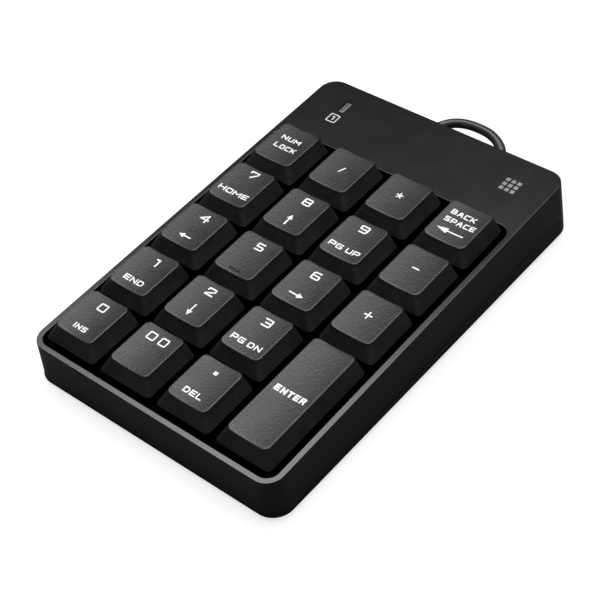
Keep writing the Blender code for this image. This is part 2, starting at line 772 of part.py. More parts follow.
def layer_outline(with_tail):
    """The sheet's outline, with a tail towards the board when it is a foil."""
    points = [(-SHEET_HALF_X, SHEET_FRONT), (SHEET_HALF_X, SHEET_FRONT), (SHEET_HALF_X, SHEET_REAR)]
    if with_tail:
        points += [(TAIL_X[1], SHEET_REAR), (TAIL_X[1], TAIL_END)]
        points += [(TAIL_X[0], TAIL_END), (TAIL_X[0], SHEET_REAR)]
    return points + [(-SHEET_HALF_X, SHEET_REAR)]


def make_layer(name, deck, look, top_z, thick, with_tail=False, contacts=False):
    outline = layer_outline(with_tail)
    layer = add_node(name, prism_mesh(name, [outline], top_z - thick, top_z), look, deck)
    holes = [circle(LAYER_HOLE_RADIUS, LAYER_HOLE_STEPS, centre) for centre in layer_bosses()]
    if contacts:
        holes += [circle(CONTACT_RADIUS, LAYER_HOLE_STEPS, (x, y)) for _, x, y in all_keys()]
    mesh = prism_mesh(name + "_holes", holes, top_z - thick - REACH, top_z + REACH)
    boolean(layer, add_helper(f"cut_{name}", mesh, deck), "DIFFERENCE")


def dome_frustum(bm, centre, base, top, low_z, high_z):
    rings = ((base, low_z), (top, high_z))
    add_loft(bm, [flat_ring(circle(radius, DOME_STEPS, centre), z) for radius, z in rings])


def make_dome_sheet(deck, look):
    """One moulded sheet: a thin web with a hollow dome under each stem, open below."""
    web_low = SHEET_TOP_Z - SHEET_THICK
    sheet = prism_mesh("dome_sheet", [layer_outline(False)], web_low, SHEET_TOP_Z)
    node = add_node("dome_sheet", sheet, look, deck)
    outside = bmesh.new()
    inside = bmesh.new()
    middle = SHEET_TOP_Z - SHEET_THICK / 2
    for _, x, y in all_keys():
        dome_frustum(outside, (x, y), DOME_BASE_RADIUS, DOME_TOP_RADIUS, middle, DOME_TOP_Z)
        inner_base = DOME_BASE_RADIUS - DOME_SKIN
        inner_top = DOME_TOP_RADIUS - DOME_SKIN
        dome_frustum(inside, (x, y), inner_base, inner_top, web_low - REACH, DOME_TOP_Z - DOME_CAP)
    boolean(node, add_helper("add_domes", mesh_from("domes", outside), deck), "UNION")
    boolean(node, add_helper("cut_domes", mesh_from("dome_hollows", inside), deck), "DIFFERENCE")
    holes = [circle(LAYER_HOLE_RADIUS, LAYER_HOLE_STEPS, centre) for centre in layer_bosses()]
    mesh = prism_mesh("sheet_holes", holes, web_low - REACH, SHEET_TOP_Z + REACH)
    boolean(node, add_helper("cut_sheet_holes", mesh, deck), "DIFFERENCE")


# ---------------------------------------------------------------- electronics


def make_board(deck, look):
    low_z = BOARD_TOP_Z - BOARD_THICK
    bm = bmesh.new()
    add_box(bm, (BOARD_X[0], BOARD_Y[0], low_z), (BOARD_X[1], BOARD_Y[1], BOARD_TOP_Z))
    board = add_node("controller_board", mesh_from("controller_board", bm), look, deck)
    radius = CLAMP_SCREW_RADIUS + GAP
    holes = [circle(radius, LAYER_HOLE_STEPS, (x, CLAMP_SCREW_Y)) for x in CLAMP_SCREWS_X]
    mesh = prism_mesh("board_holes", holes, low_z - REACH, BOARD_TOP_Z + REACH)
    boolean(board, add_helper("cut_board", mesh, deck), "DIFFERENCE")


def make_chip(deck, look):
    """A flat package with its legs in two rows."""
    bm = bmesh.new()
    x, y = CHIP_CENTRE
    base = BOARD_TOP_Z + GAP
    half_x, half_y = CHIP_HALF
    add_box(bm, (x - half_x, y - half_y, base + GAP), (x + half_x, y + half_y, base + CHIP_HEIGHT))
    legs = bmesh.new()
    pitch = 2 * half_x / CHIP_LEG_ROWS
    leg_half = pitch / 4
    for number in range(CHIP_LEG_ROWS):
        leg_x = x + (number - (CHIP_LEG_ROWS - 1) / 2) * pitch
        reach = half_y + CHIP_LEG_REACH
        low = (leg_x - leg_half, y - reach, base)
        add_box(legs, low, (leg_x + leg_half, y + reach, base + 2 * GAP))
    chip = add_node("controller_chip", mesh_from("controller_chip", bm), look, deck)
    boolean(chip, add_helper("add_chip_legs", mesh_from("chip_legs", legs), deck), "UNION")


def make_header(deck, look):
    """The plug housing where the cable's conductors meet the board."""
    bm = bmesh.new()
    base = BOARD_TOP_Z + GAP
    low = (CABLE_X - HEADER_HALF[0], HEADER_Y - HEADER_HALF[1], base)
    high = (CABLE_X + HEADER_HALF[0], HEADER_Y + HEADER_HALF[1], base + HEADER_HEIGHT)
    add_box(bm, low, high)
    header = add_node("cable_header", mesh_from("cable_header", bm), look, deck)
    well = bmesh.new()
    low = (low[0] + HEADER_WALL, low[1] + HEADER_WALL, base + HEADER_HEIGHT - HEADER_WELL_DEPTH)
    high = (high[0] - HEADER_WALL, high[1] - HEADER_WALL, base + HEADER_HEIGHT + REACH)
    add_box(well, low, high)
    boolean(header, add_helper("cut_header", mesh_from("header_well", well), deck), "DIFFERENCE")


def make_clamp_bar(deck, look):
    bm = bmesh.new()
    add_box(bm, (CLAMP_X[0], CLAMP_Y[0], CLAMP_Z[0]), (CLAMP_X[1], CLAMP_Y[1], CLAMP_Z[1]))
    bar = add_node("membrane_clamp_bar", mesh_from("membrane_clamp_bar", bm), look, deck)
    radius = CLAMP_SCREW_RADIUS + GAP
    holes = [circle(radius, LAYER_HOLE_STEPS, (x, CLAMP_SCREW_Y)) for x in CLAMP_SCREWS_X]
    mesh = prism_mesh("clamp_holes", holes, CLAMP_Z[0] - REACH, CLAMP_Z[1] + REACH)
    boolean(bar, add_helper("cut_clamp_bar", mesh, deck), "DIFFERENCE")


def make_light(deck, led_look, pipe_look):
    bm = bmesh.new()
    add_box(
        bm,
        (-LED_HALF[0], -LED_HALF[1], LED_Z[0]),
        (LED_HALF[0], LED_HALF[1], LED_Z[1]),
    )
    led = add_node("status_led", mesh_from("status_led", bm), led_look, deck, (LIGHT_X, LIGHT_Y, 0))
    legs = bmesh.new()
    for side in (-1, 1):
        y = side * LED_LEG_Y
        low = (-LED_LEG_HALF, y - LED_LEG_HALF, BOARD_TOP_Z + GAP)
        add_box(legs, low, (LED_LEG_HALF, y + LED_LEG_HALF, LED_Z[0] + GAP))
    helper = add_helper("add_led_legs", mesh_from("led_legs", legs), deck)
    helper.location = led.location
    boolean(led, helper, "UNION")

    pipe = bmesh.new()
    half_x = SLOT_HALF[0] - GAP
    half_y = SLOT_HALF[1] - GAP
    middle = sum(PIPE_FLANGE_Z) / 2
    add_box(pipe, (-half_x, -half_y, middle), (half_x, half_y, PIPE_TOP_Z))
    flange = bmesh.new()
    half_x, half_y = PIPE_FLANGE_HALF
    low, high = PIPE_FLANGE_Z
    add_box(flange, (-half_x, -half_y, low), (half_x, half_y, high))
    steps = [(mesh_from("pipe_flange", flange), "UNION")]
    mesh = baked("status_light_pipe", mesh_from("pipe", pipe), steps)
    add_node("status_light_pipe", mesh, pipe_look, deck, (LIGHT_X, LIGHT_Y, 0))


# ---------------------------------------------------------------- fasteners and feet


def screw_mesh(name, look, head_radius, head_low, head_high, radius, tip_z, up):
    """A pan-head screw along Z with a cross recess. up is 1 when the tip is above the head."""
    bm = bmesh.new()
    add_prism(bm, circle(head_radius, BOSS_STEPS), head_low, head_high)
    shank = bmesh.new()
    middle = (head_low + head_high) / 2
    add_prism(shank, circle(radius, LAYER_HOLE_STEPS), min(middle, tip_z), max(middle, tip_z))
    outer = head_low if up == 1 else head_high
    depth = (outer - up * REACH, outer + up * RECESS_DEPTH)
    scale = head_radius / SCREW_HEAD_RADIUS
    arm, half = (size * scale for size in RECESS_HALF)
    recess = bmesh.new()
    cross = [
        (arm, -half), (arm, half), (half, half), (half, arm), (-half, arm), (-half, half),
        (-arm, half), (-arm, -half), (-half, -half), (-half, -arm), (half, -arm), (half, -half),
    ]
    add_prism(recess, cross, min(depth), max(depth))
    steps = [(mesh_from("shank", shank), "UNION"), (mesh_from("recess", recess), "DIFFERENCE")]
    mesh = baked(name, mesh_from(name, bm), steps)
    mesh.materials.clear()
    mesh.materials.append(look)
    return mesh


def make_screws(deck, look):
    low = SCREW_HEAD_TOP_Z - SCREW_HEAD_HEIGHT
    mesh = screw_mesh(
        "case_screw", look, SCREW_HEAD_RADIUS, low, SCREW_HEAD_TOP_Z, SCREW_RADIUS, SCREW_TIP_Z, 1
    )
    for number, (x, y) in enumerate(boss_centres(), start=1):
        add_node(f"case_screw_{number}", mesh, look, deck, (x, y, 0))
    low = CLAMP_Z[1] + GAP
    mesh = screw_mesh(
        "clamp_screw", look, CLAMP_HEAD_RADIUS, low, low + CLAMP_HEAD_HEIGHT,
        CLAMP_SCREW_RADIUS, CLAMP_SCREW_END_Z, -1,
    )
    for number, x in enumerate(CLAMP_SCREWS_X, start=1):
        add_node(f"clamp_screw_{number}", mesh, look, deck, (x, CLAMP_SCREW_Y, 0))


def make_feet(look):
    bm = bmesh.new()
    rings = (
        (FOOT_RADIUS - FOOT_CHAMFER, -FOOT_PROUD),
        (FOOT_RADIUS, FOOT_CHAMFER - FOOT_PROUD),
        (FOOT_RADIUS, FOOT_SUNK),
    )
    add_loft(bm, [flat_ring(circle(radius, FOOT_STEPS), z) for radius, z in rings])
    mesh = mesh_from("foot", bm)
    shade_smooth(mesh)
    for name, x, y in foot_places():
        add_node(name, mesh, look, location=(x, y, 0))


# ---------------------------------------------------------------- cable and plug


def cable_points():
    """The cable's centre line in the world frame: out of the case, round a loop and back to the plug."""
    grip_end = Vector((PLUG_START_X, PLUG_Y, PLUG_Z))
    stations = [in_world(CABLE_X, HEADER_Y + HEADER_HALF[1] + GAP, BOARD_TOP_Z + HEADER_HEIGHT / 2)]
    stations += [in_world(x, CASE_HALF_Y + behind, z) for x, behind, z in CABLE_LOOP]
    stations += [grip_end + Vector(CABLE_ENTRY), grip_end + Vector((GAP, 0, 0))]
    points = [stations[0]]
    for k in range(len(stations) - 1):
        start, end = stations[k], stations[k + 1]
        before = stations[max(k - 1, 0)]
        after = stations[min(k + 2, len(stations) - 1)]
        leave = (end - before) / 2
        arrive = (after - start) / 2
        for piece in range(1, CABLE_SPAN_PIECES + 1):
            t = piece / CABLE_SPAN_PIECES
            points.append(
                start * (2 * t**3 - 3 * t**2 + 1)
                + leave * (t**3 - 2 * t**2 + t)
                + end * (3 * t**2 - 2 * t**3)
                + arrive * (t**3 - t**2)
            )
    return points


def make_cable(look):
    points = cable_points()
    jacketed = len(points) - STRIPPED_POINTS
    radii = [CABLE_RADIUS * CONDUCTORS_SCALE] * STRIPPED_POINTS + [CABLE_RADIUS] * jacketed
    add_node("usb_cable", tube_mesh("usb_cable", points, radii, CABLE_STEPS), look)


def make_strain_relief(deck, look):
    """A rubber bush: inner flange, neck through the wall and a short tapered boot."""
    wall_out = CASE_HALF_Y - CABLE_Z * CASE_FLARE
    wall_in = wall_out - WALL
    neck = NOTCH_RADIUS - GAP
    flange_end = wall_in - GAP - BOOT_FLANGE_THICK
    profile = (
        (BORE_RADIUS, flange_end),
        (neck + BOOT_FLANGE, flange_end),
        (neck + BOOT_FLANGE, wall_in - GAP),
        (neck, wall_in - GAP),
        (neck, wall_out + BOOT_COLLAR),
        (neck - BOOT_TAPER, wall_out + BOOT_LENGTH),
        (BORE_RADIUS, wall_out + BOOT_LENGTH),
    )
    bm = bmesh.new()
    rings = []
    for radius, y in profile:
        ring = circle(radius, BOOT_STEPS, (CABLE_X, CABLE_Z))
        rings.append([bm.verts.new((x, y, z)) for x, z in ring])
    for first, second in zip(rings, rings[1:] + rings[:1]):
        for k in range(BOOT_STEPS):
            after = (k + 1) % BOOT_STEPS
            bm.faces.new((first[k], first[after], second[after], second[k]))
    mesh = mesh_from("strain_relief", bm)
    shade_smooth(mesh)
    add_node("strain_relief", mesh, look, deck)


def plug_ring(x, half_y, half_z, radius):
    outline = rounded_rectangle(half_y, half_z, radius, CORNER_STEPS, (PLUG_Y, PLUG_Z))
    return [(x, y, z) for y, z in outline]


def make_plug(grip_look, shell_look):
    bm = bmesh.new()
    half_y, half_z = GRIP_HALF
    end_x = PLUG_START_X - GRIP_LENGTH
    stations = (
        (PLUG_START_X, half_y - GRIP_SOFT, half_z - 3 * GRIP_SOFT),
        (PLUG_START_X - GRIP_TAPER[0], half_y, half_z - GRIP_SOFT / 2),
        (PLUG_START_X - GRIP_TAPER[1], half_y, half_z),
        (end_x + GRIP_SOFT, half_y, half_z),
        (end_x, half_y - GRIP_SOFT, half_z - GRIP_SOFT),
    )
    add_loft(bm, [plug_ring(x, y, z, min(GRIP_CORNER, y - GRIP_SOFT / 2)) for x, y, z in stations])
    mesh = mesh_from("usb_plug_grip", bm)
    shade_smooth(mesh)
    add_node("usb_plug_grip", mesh, grip_look)

    shell = bmesh.new()
    near = end_x - GAP
    far = near - PLUG_SHELL_LENGTH
    half_y, half_z = PLUG_SHELL_HALF
    round_y = half_y - FULL_ROUND_MARGIN
    add_loft(shell, [plug_ring(x, half_y, half_z, round_y) for x in (near, far)])
    hollow = bmesh.new()
    inner_y = half_y - PLUG_SHELL_WALL
    inner_z = half_z - PLUG_SHELL_WALL
    ends = (near - PLUG_SHELL_BACK, far - REACH)
    add_loft(hollow, [plug_ring(x, inner_y, inner_z, inner_y - FULL_ROUND_MARGIN) for x in ends])
    steps = [(mesh_from("plug_hollow", hollow), "DIFFERENCE")]
    mesh = baked("usb_plug_shell", mesh_from("plug_shell", shell), steps)
    shade_smooth(mesh)
    add_node("usb_plug_shell", mesh, shell_look)


# ---------------------------------------------------------------- the keypad


def build():
    clear_scene()
    deck = bpy.data.objects.new("deck_frame", None)
    bpy.context.scene.collection.objects.link(deck)
    deck.location = (0, 0, DECK_HEIGHT)
    deck.rotation_euler = (DECK_TILT, 0, 0)

    case_black = material("case_black", (0.018, 0.018, 0.019), 0.45)
    key_black = material("key_black", (0.028, 0.028, 0.029), 0.5)
    rubber_grey = material("rubber_grey", (0.35, 0.36, 0.36), 0.8)
    rubber_black = material("rubber_black", (0.02, 0.02, 0.02), 0.75)
    foil_clear = material("foil_clear", (0.62, 0.68, 0.66), 0.35)
    foil_spacer = material("foil_spacer", (0.45, 0.52, 0.6), 0.4)
    steel = material("steel", (0.55, 0.56, 0.58), 0.35, 1.0)
    board_green = material("board_green", (0.03, 0.16, 0.06), 0.4)
    chip_black = material("chip_black", (0.03, 0.03, 0.03), 0.5)
    housing_white = material("housing_white", (0.75, 0.74, 0.7), 0.5)
    led_green = material("led_green", (0.2, 0.6, 0.25), 0.2)
    pipe_grey = material("pipe_grey", (0.12, 0.12, 0.12), 0.25)
    cable_black = material("cable_black", (0.03, 0.03, 0.03), 0.5)

    make_top_case(deck, case_black)
    make_bottom_case(deck, case_black)
    make_keys(deck, key_black)
    make_stabilizer(deck, steel)
    make_dome_sheet(deck, rubber_grey)
    make_layer("upper_membrane", deck, foil_clear, UPPER_FOIL_Z, FOIL_THICK, with_tail=True)
    make_layer("spacer_membrane", deck, foil_spacer, SPACER_FOIL_Z, FOIL_THICK, contacts=True)
    make_layer("lower_membrane", deck, foil_clear, LOWER_FOIL_Z, FOIL_THICK, with_tail=True)
    make_layer("backing_plate", deck, steel, PLATE_TOP_Z, PLATE_THICK)
    make_board(deck, board_green)
    make_chip(deck, chip_black)
    make_header(deck, housing_white)
    make_clamp_bar(deck, steel)
    make_light(deck, led_green, pipe_grey)
    make_screws(deck, steel)
    make_feet(rubber_black)
    make_cable(cable_black)
    make_strain_relief(deck, rubber_black)
    make_plug(cable_black, steel)


build()
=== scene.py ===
"""Looks of the numeric keypad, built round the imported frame.

Lengths in this script are millimetres. Most pieces are laid out in the deck frame: its origin is the
middle of the deck's top face, its Z is square to the deck, and the keys travel along it. The feet, the
cable and the plug are laid out in the row frame.
"""

import json
import math

import bmesh
import bpy
from mathutils import Matrix, Vector
from mathutils.geometry import delaunay_2d_cdt


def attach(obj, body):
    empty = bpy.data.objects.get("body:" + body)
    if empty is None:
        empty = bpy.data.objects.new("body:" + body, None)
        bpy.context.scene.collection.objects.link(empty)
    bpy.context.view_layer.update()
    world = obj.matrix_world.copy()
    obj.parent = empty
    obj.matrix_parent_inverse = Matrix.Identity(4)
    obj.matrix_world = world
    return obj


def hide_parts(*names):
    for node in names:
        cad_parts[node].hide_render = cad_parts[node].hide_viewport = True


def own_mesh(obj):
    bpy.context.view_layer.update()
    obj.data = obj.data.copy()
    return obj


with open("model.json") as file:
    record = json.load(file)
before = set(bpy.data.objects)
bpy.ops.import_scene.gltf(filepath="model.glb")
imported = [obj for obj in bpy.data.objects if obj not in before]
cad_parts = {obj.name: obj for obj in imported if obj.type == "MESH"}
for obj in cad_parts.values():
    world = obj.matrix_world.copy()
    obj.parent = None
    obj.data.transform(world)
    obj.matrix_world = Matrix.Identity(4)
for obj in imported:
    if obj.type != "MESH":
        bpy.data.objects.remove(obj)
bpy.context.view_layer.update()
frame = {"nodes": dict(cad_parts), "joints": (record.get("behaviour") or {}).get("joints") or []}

MM = 0.001


def deck_frame():
    """The deck frame's matrix, from the keys' travel axis and the top case."""
    travel = Vector(frame["joints"][0]["axis"])
    turn = Matrix.Rotation(math.atan2(travel.y, -travel.z), 4, "X")
    back = turn.inverted()
    points = [back @ vert.co for vert in frame["nodes"]["top_case"].data.vertices]
    middle_y = (min(p.y for p in points) + max(p.y for p in points)) / 2
    return turn @ Matrix.Translation((0, middle_y, max(p.z for p in points)))


DECK_FRAME = deck_frame()
DECK = DECK_FRAME @ Matrix.Scale(MM, 4)
ROW = Matrix.Scale(MM, 4)
DECK_NORMAL = DECK_FRAME.to_3x3() @ Vector((0, 0, 1))
TILT = math.atan2(-DECK_NORMAL.y, DECK_NORMAL.z)


def node_box(node, place=DECK):
    """Lowest and highest corner of a CAD node, in millimetres in the deck or the row frame."""
    back = place.inverted()
    points = [back @ vert.co for vert in frame["nodes"][node].data.vertices]
    low = Vector([min(point[axis] for point in points) for axis in range(3)])
    high = Vector([max(point[axis] for point in points) for axis in range(3)])
    return low, high


def node_centre(node, place=DECK):
    """x and y of the middle of a CAD node."""
    low, high = node_box(node, place)
    return (low.x + high.x) / 2, (low.y + high.y) / 2


def nodes_named(start):
    return sorted(name for name in frame["nodes"] if name.startswith(start))


# ---- sizes

TOP_LOW, TOP_HIGH = node_box("top_case")
SEAM_Z = TOP_LOW.z - 0.15
FLARE = 0.06  # how far the side walls lean out, per unit of depth
CASE_HALF_X = TOP_HIGH.x + FLARE * TOP_LOW.z
CASE_HALF_Y = TOP_HIGH.y + FLARE * TOP_LOW.z
CASE_CORNER = 5.0
CASE_EDGE = 0.22
CORNER_STEPS = 14
ARC_STEPS = 5
UNDERSIDE_EDGE = 0.9
SEAM_GAP = 0.16
SEAM_CHAMFER = 0.08
WALL = 1.8
DECK_THICK = 1.8
FLOOR_THICK = 1.2
OVERRUN = 2.0  # how far a cutter runs past what it cuts
SHORT_OVERRUN = 0.5  # the same, where a longer run would cut a neighbour
GAP = 0.3

RIM = 1.6  # width of the rim beside the keys
WELL_REAR = node_box("dome_sheet")[1].y + 0.9
WELL_CORNER = 3.4
WELL_LIP = 0.15
WELL_FOOT = 0.35
WELL_FLOOR_Z = -3.2
WELL_FLOOR_THICK = 1.2
WELL_REAR_WALL = 1.4
SLEEVE_HALF = 3.7
SLEEVE_CHAMFER = 0.25
SLEEVE_Z = (-4.6, -0.9)
STEM_HALF = 2.5
STEM_END_Z = node_box("key_0")[0].z
BARB_HALF_X = 3.2
BARB_HALF_Y = 1.2
BARB_LOW_Z = STEM_END_Z + 0.1
BARB_TOP_Z = STEM_END_Z + 0.4

CAP_BASE_Z = 0.3
CAP_TOP_Z = node_box("key_plus")[1].z
CAP_BASE_HALF = (8.5, 8.55)
CAP_TOP_HALF = (6.3, 7.25)
CAP_SHIFT_Y = 1.1
CAP_BASE_CORNER = 1.3
CAP_TOP_CORNER = 1.6
CAP_CORNER_STEPS = 8
CAP_SIDE_STEPS = 8
CAP_SIDE_SHARES = (0.25, 0.5, 0.75)
CAP_DISH_SHARES = (0.94, 0.86, 0.74, 0.6, 0.45, 0.3, 0.15, 0.05)
CAP_FILLET = 0.32
CAP_WALL = 1.15
CAP_SKIRT = 0.12
CAP_CEILING_Z = 3.0
HOMING_BAR_HALF = (1.8, 0.28)
HOMING_BAR_SHIFT_Y = -5.7
DISH_RADIUS = 44.0
DISH_DEPTH = 0.45

LEGEND_RAISE = 0.02
LEGEND_ROOT = 0.08
LEGEND_CUTS = 0.8  # spacing of the cuts that let a legend follow the dish

DOME_BASE_RADIUS = 5.6
DOME_TOP_RADIUS = 2.9
SHEET_THICK = 0.4

WIRE_LOW, WIRE_HIGH = node_box("enter_stabilizer_wire")
WIRE_RADIUS = 0.6
WIRE_HINGE = (WIRE_LOW.x + WIRE_RADIUS, WIRE_LOW.z + WIRE_RADIUS)  # x and z
WIRE_BAR = (WIRE_HIGH.x - WIRE_RADIUS, WIRE_HIGH.z - WIRE_RADIUS)
WIRE_TIP = 3.1
WIRE_BEND = 1.3
LUG_Y = (WIRE_LOW.y + 1.2, WIRE_HIGH.y - 1.2)
LUG_X = (WIRE_LOW.x - 0.8, WIRE_LOW.x + 2.0)
LUG_Z = (WELL_FLOOR_Z - 0.4, WELL_FLOOR_Z + 2.5)
LUG_HALF_Y = 0.8
BEARING_RADIUS = 0.9
HOOK_REACH_Y = 7.0
HOOK_HALF = (1.7, 0.7)
HOOK_DROP = 1.4
HOOK_SLOT_HALF = 0.9

BOSS_RADIUS = 2.5
BOSS_HOLE_RADIUS = 1.3
BOSS_HOLE_TOP_Z = -5.2
BOSS_END_Z = -11.5
POST_RADIUS = 4.0
BOARD_POST_RADIUS = 2.3
CLAMP_HOLE_RADIUS = 1.1
RIB_HALF_THICK = 0.6
RIB_Y = (-44.0, 34.0)
SCREW_HEAD_RADIUS = 2.5
SCREW_HEAD_TOP_Z = -12.7

LENS_LOW_Z = node_box("status_light_pipe")[0].z
LENS_FLANGE_HALF = (1.3, 2.9)
LENS_FLANGE_THICK = 0.9
LIGHT_CENTRE = node_centre("status_light_pipe")
LIGHT_SYMBOL_Y = 47.0
KEYPAD_SYMBOL_PLACE = (29.0, 50.5)
SLOT_HALF = (0.95, 2.35)

CABLE_RADIUS = 1.4
NOTCH_RADIUS = 3.3
BOOT_LOW, BOOT_HIGH = node_box("strain_relief")
CABLE_X = (BOOT_LOW.x + BOOT_HIGH.x) / 2
CABLE_Z = (BOOT_LOW.z + BOOT_HIGH.z) / 2


def key_nodes():
    """(node name, centre x, centre y, extra half length) of each key, from its CAD node."""
    plain_low, plain_high = node_box("key_0")
    for node in nodes_named("key_"):
        low, high = node_box(node)
        stretch = ((high.y - low.y) - (plain_high.y - plain_low.y)) / 2
        yield node, (low.x + high.x) / 2, low.y + CAP_BASE_HALF[1] + stretch, stretch


KEYS = list(key_nodes())
KEY_PLACES = {node: (x, y) for node, x, y, _ in KEYS}
SCREW_NODES = nodes_named("case_screw_")
BOSSES = [node_centre(node) for node in SCREW_NODES]
CLAMP_SCREWS = {node: node_centre(node) for node in nodes_named("clamp_screw_")}
FOOT_NODES = nodes_named("foot_")


# ---- meshes


def rounded_rectangle(half_x, half_y, radius, steps=CORNER_STEPS, centre=(0, 0), side_steps=1):
    """Points of a rounded rectangle, counter-clockwise, with side_steps pieces along each side."""
    corners = []
    for quarter, (side_x, side_y) in enumerate(((1, 1), (-1, 1), (-1, -1), (1, -1))):
        for step in range(steps + 1):
            angle = (quarter + step / steps) * math.pi / 2
            x = centre[0] + side_x * (half_x - radius) + radius * math.cos(angle)
            y = centre[1] + side_y * (half_y - radius) + radius * math.sin(angle)
            corners.append((x, y))
    points = []
    for k, (x, y) in enumerate(corners):
        points.append((x, y))
        if (k + 1) % (steps + 1) == 0:
            next_x, next_y = corners[(k + 1) % len(corners)]
            for piece in range(1, side_steps):
                share = piece / side_steps
                points.append((x + (next_x - x) * share, y + (next_y - y) * share))
    return points


def rectangle(low, high):
    return [(low[0], low[1]), (high[0], low[1]), (high[0], high[1]), (low[0], high[1])]


def circle(radius, steps, centre=(0, 0)):
    turn = 2 * math.pi / steps
    return [
        (centre[0] + radius * math.cos(turn * k), centre[1] + radius * math.sin(turn * k))
        for k in range(steps)
    ]


def quarter_arc(radius):
    """(inset, drop) pairs from the side wall to the top face of a rounded edge."""
    for step in range(ARC_STEPS + 1):
        angle = step / ARC_STEPS * math.pi / 2
        yield radius * (1 - math.cos(angle)), radius * (1 - math.sin(angle))


# A body is a list of rings, each of equally many points, from one end to the other.


def ring(outline, z):
    return [(x, y, z) for x, y in outline]


def prism(outline, low_z, high_z):
    return [ring(outline, low_z), ring(outline, high_z)]


def box(low, high):
    return prism(rectangle(low, high), low[2], high[2])


def post(place, radius, low_z, high_z, steps=32):
    return prism(circle(radius, steps, place), low_z, high_z)


def lathe(profile, steps, centre, axis="Z"):
    """A turned body: profile holds (radius, place along the axis)."""
    rings = []
    for radius, along in profile:
        if axis == "Z":
            flat = circle(radius, steps, (centre[0], centre[1]))
            rings.append([(x, y, centre[2] + along) for x, y in flat])
        else:
            flat = circle(radius, steps, (centre[0], centre[2]))
            rings.append([(x, centre[1] + along, z) for x, z in flat])
    return rings


def rod_along_y(centre, radius, half_length, steps):
    return lathe(((radius, -half_length), (radius, half_length)), steps, centre, "Y")


def loft(bm, rings, slots=None, wrap=False):
    """Skins one body. slots gives each band its material slot; wrap joins the last ring to the first."""
    loops = [[bm.verts.new(point) for point in one] for one in rings]
    pairs = list(zip(loops, loops[1:]))
    if wrap:
        pairs.append((loops[-1], loops[0]))
    for number, (lower, upper) in enumerate(pairs):
        for k, vert in enumerate(lower):
            after = (k + 1) % len(lower)
            face = bm.faces.new((vert, lower[after], upper[after], upper[k]))
            if slots:
                face.material_index = slots[number]
    if not wrap:
        first = bm.faces.new(loops[0])
        last = bm.faces.new(loops[-1])
        if slots:
            first.material_index = slots[0]
            last.material_index = slots[-1]
    return loops


def mesh_from(name, bm):
    bmesh.ops.recalc_face_normals(bm, faces=bm.faces)
    mesh = bpy.data.meshes.new(name)
    bm.to_mesh(mesh)
    bm.free()
    return mesh


def solid(name, *bodies, wrap=False):
    """A mesh of closed bodies."""
    bm = bmesh.new()
    for rings in bodies:
        loft(bm, rings, wrap=wrap)
    return mesh_from(name, bm)


def new_object(name, data):
    made = bpy.data.objects.new(name, data)
    bpy.context.scene.collection.objects.link(made)
    return made


def combined(name, base, *steps):
    """The mesh of base after Boolean steps, each an operation and a mesh."""
    target = new_object(name + "_base", base)
    helpers = [target]
    for number, (operation, mesh) in enumerate(steps):
        helper = new_object(f"{name}_tool_{number}", mesh)
        modifier = target.modifiers.new(helper.name, "BOOLEAN")
        modifier.operation = operation
        modifier.solver = "EXACT"
        modifier.object = helper
        helpers.append(helper)
    bpy.context.view_layer.update()
    graph = bpy.context.evaluated_depsgraph_get()
    mesh = bpy.data.meshes.new_from_object(target.evaluated_get(graph))
    mesh.name = name
    for helper in helpers:
        bpy.data.objects.remove(helper)
    return mesh


def add_piece(name, mesh, looks, body="case", place=DECK, replaces=(), sharp=30, weighted=False):
    """One visible piece: its mesh goes to the row frame, takes its looks and rides on a body."""
    mesh.transform(place)
    mesh.materials.clear()
    for look in looks:
        mesh.materials.append(MATERIALS[look])
    mesh.shade_smooth()
    mesh.set_sharp_from_angle(angle=math.radians(sharp))
    piece = new_object(name, mesh)
    if weighted:
        modifier = piece.modifiers.new("even_shading", "WEIGHTED_NORMAL")
        modifier.keep_sharp = True
        modifier.weight = 80
    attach(piece, body)
    if replaces:
        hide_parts(*replaces)
    return piece


# ---- materials


def connect(tree, node, links):
    """Gives a node's inputs a number, a colour or another node's output."""
    for key, value in links.items():
        socket = node.inputs[key]
        if isinstance(value, bpy.types.NodeSocket):
            tree.links.new(value, socket)
        else:
            socket.default_value = (*value, 1.0) if socket.type == "RGBA" else value


def add(tree, kind, links=(), output=0, **settings):
    """An output of a new shader node."""
    made = tree.nodes.new("ShaderNode" + kind)
    for key, value in settings.items():
        setattr(made, key, value)
    connect(tree, made, dict(links))
    return made.outputs[output]


def noise(tree, place, size):
    """Noise whose blobs are about size millimetres across."""
    return add(tree, "TexNoise", {"Vector": place, "Scale": 1 / (size * MM), "Detail": 3.0})


def spread(tree, value, low, high, start=0.35, end=0.65):
    """Maps a texture's middle range to low..high."""
    links = {"Value": value, "From Min": start, "From Max": end, "To Min": low, "To Max": high}
    return add(tree, "MapRange", links)


def mix(tree, share, first, second):
    """Colour between first and second."""
    return add(tree, "Mix", {0: share, 6: first, 7: second}, 2, data_type="RGBA")


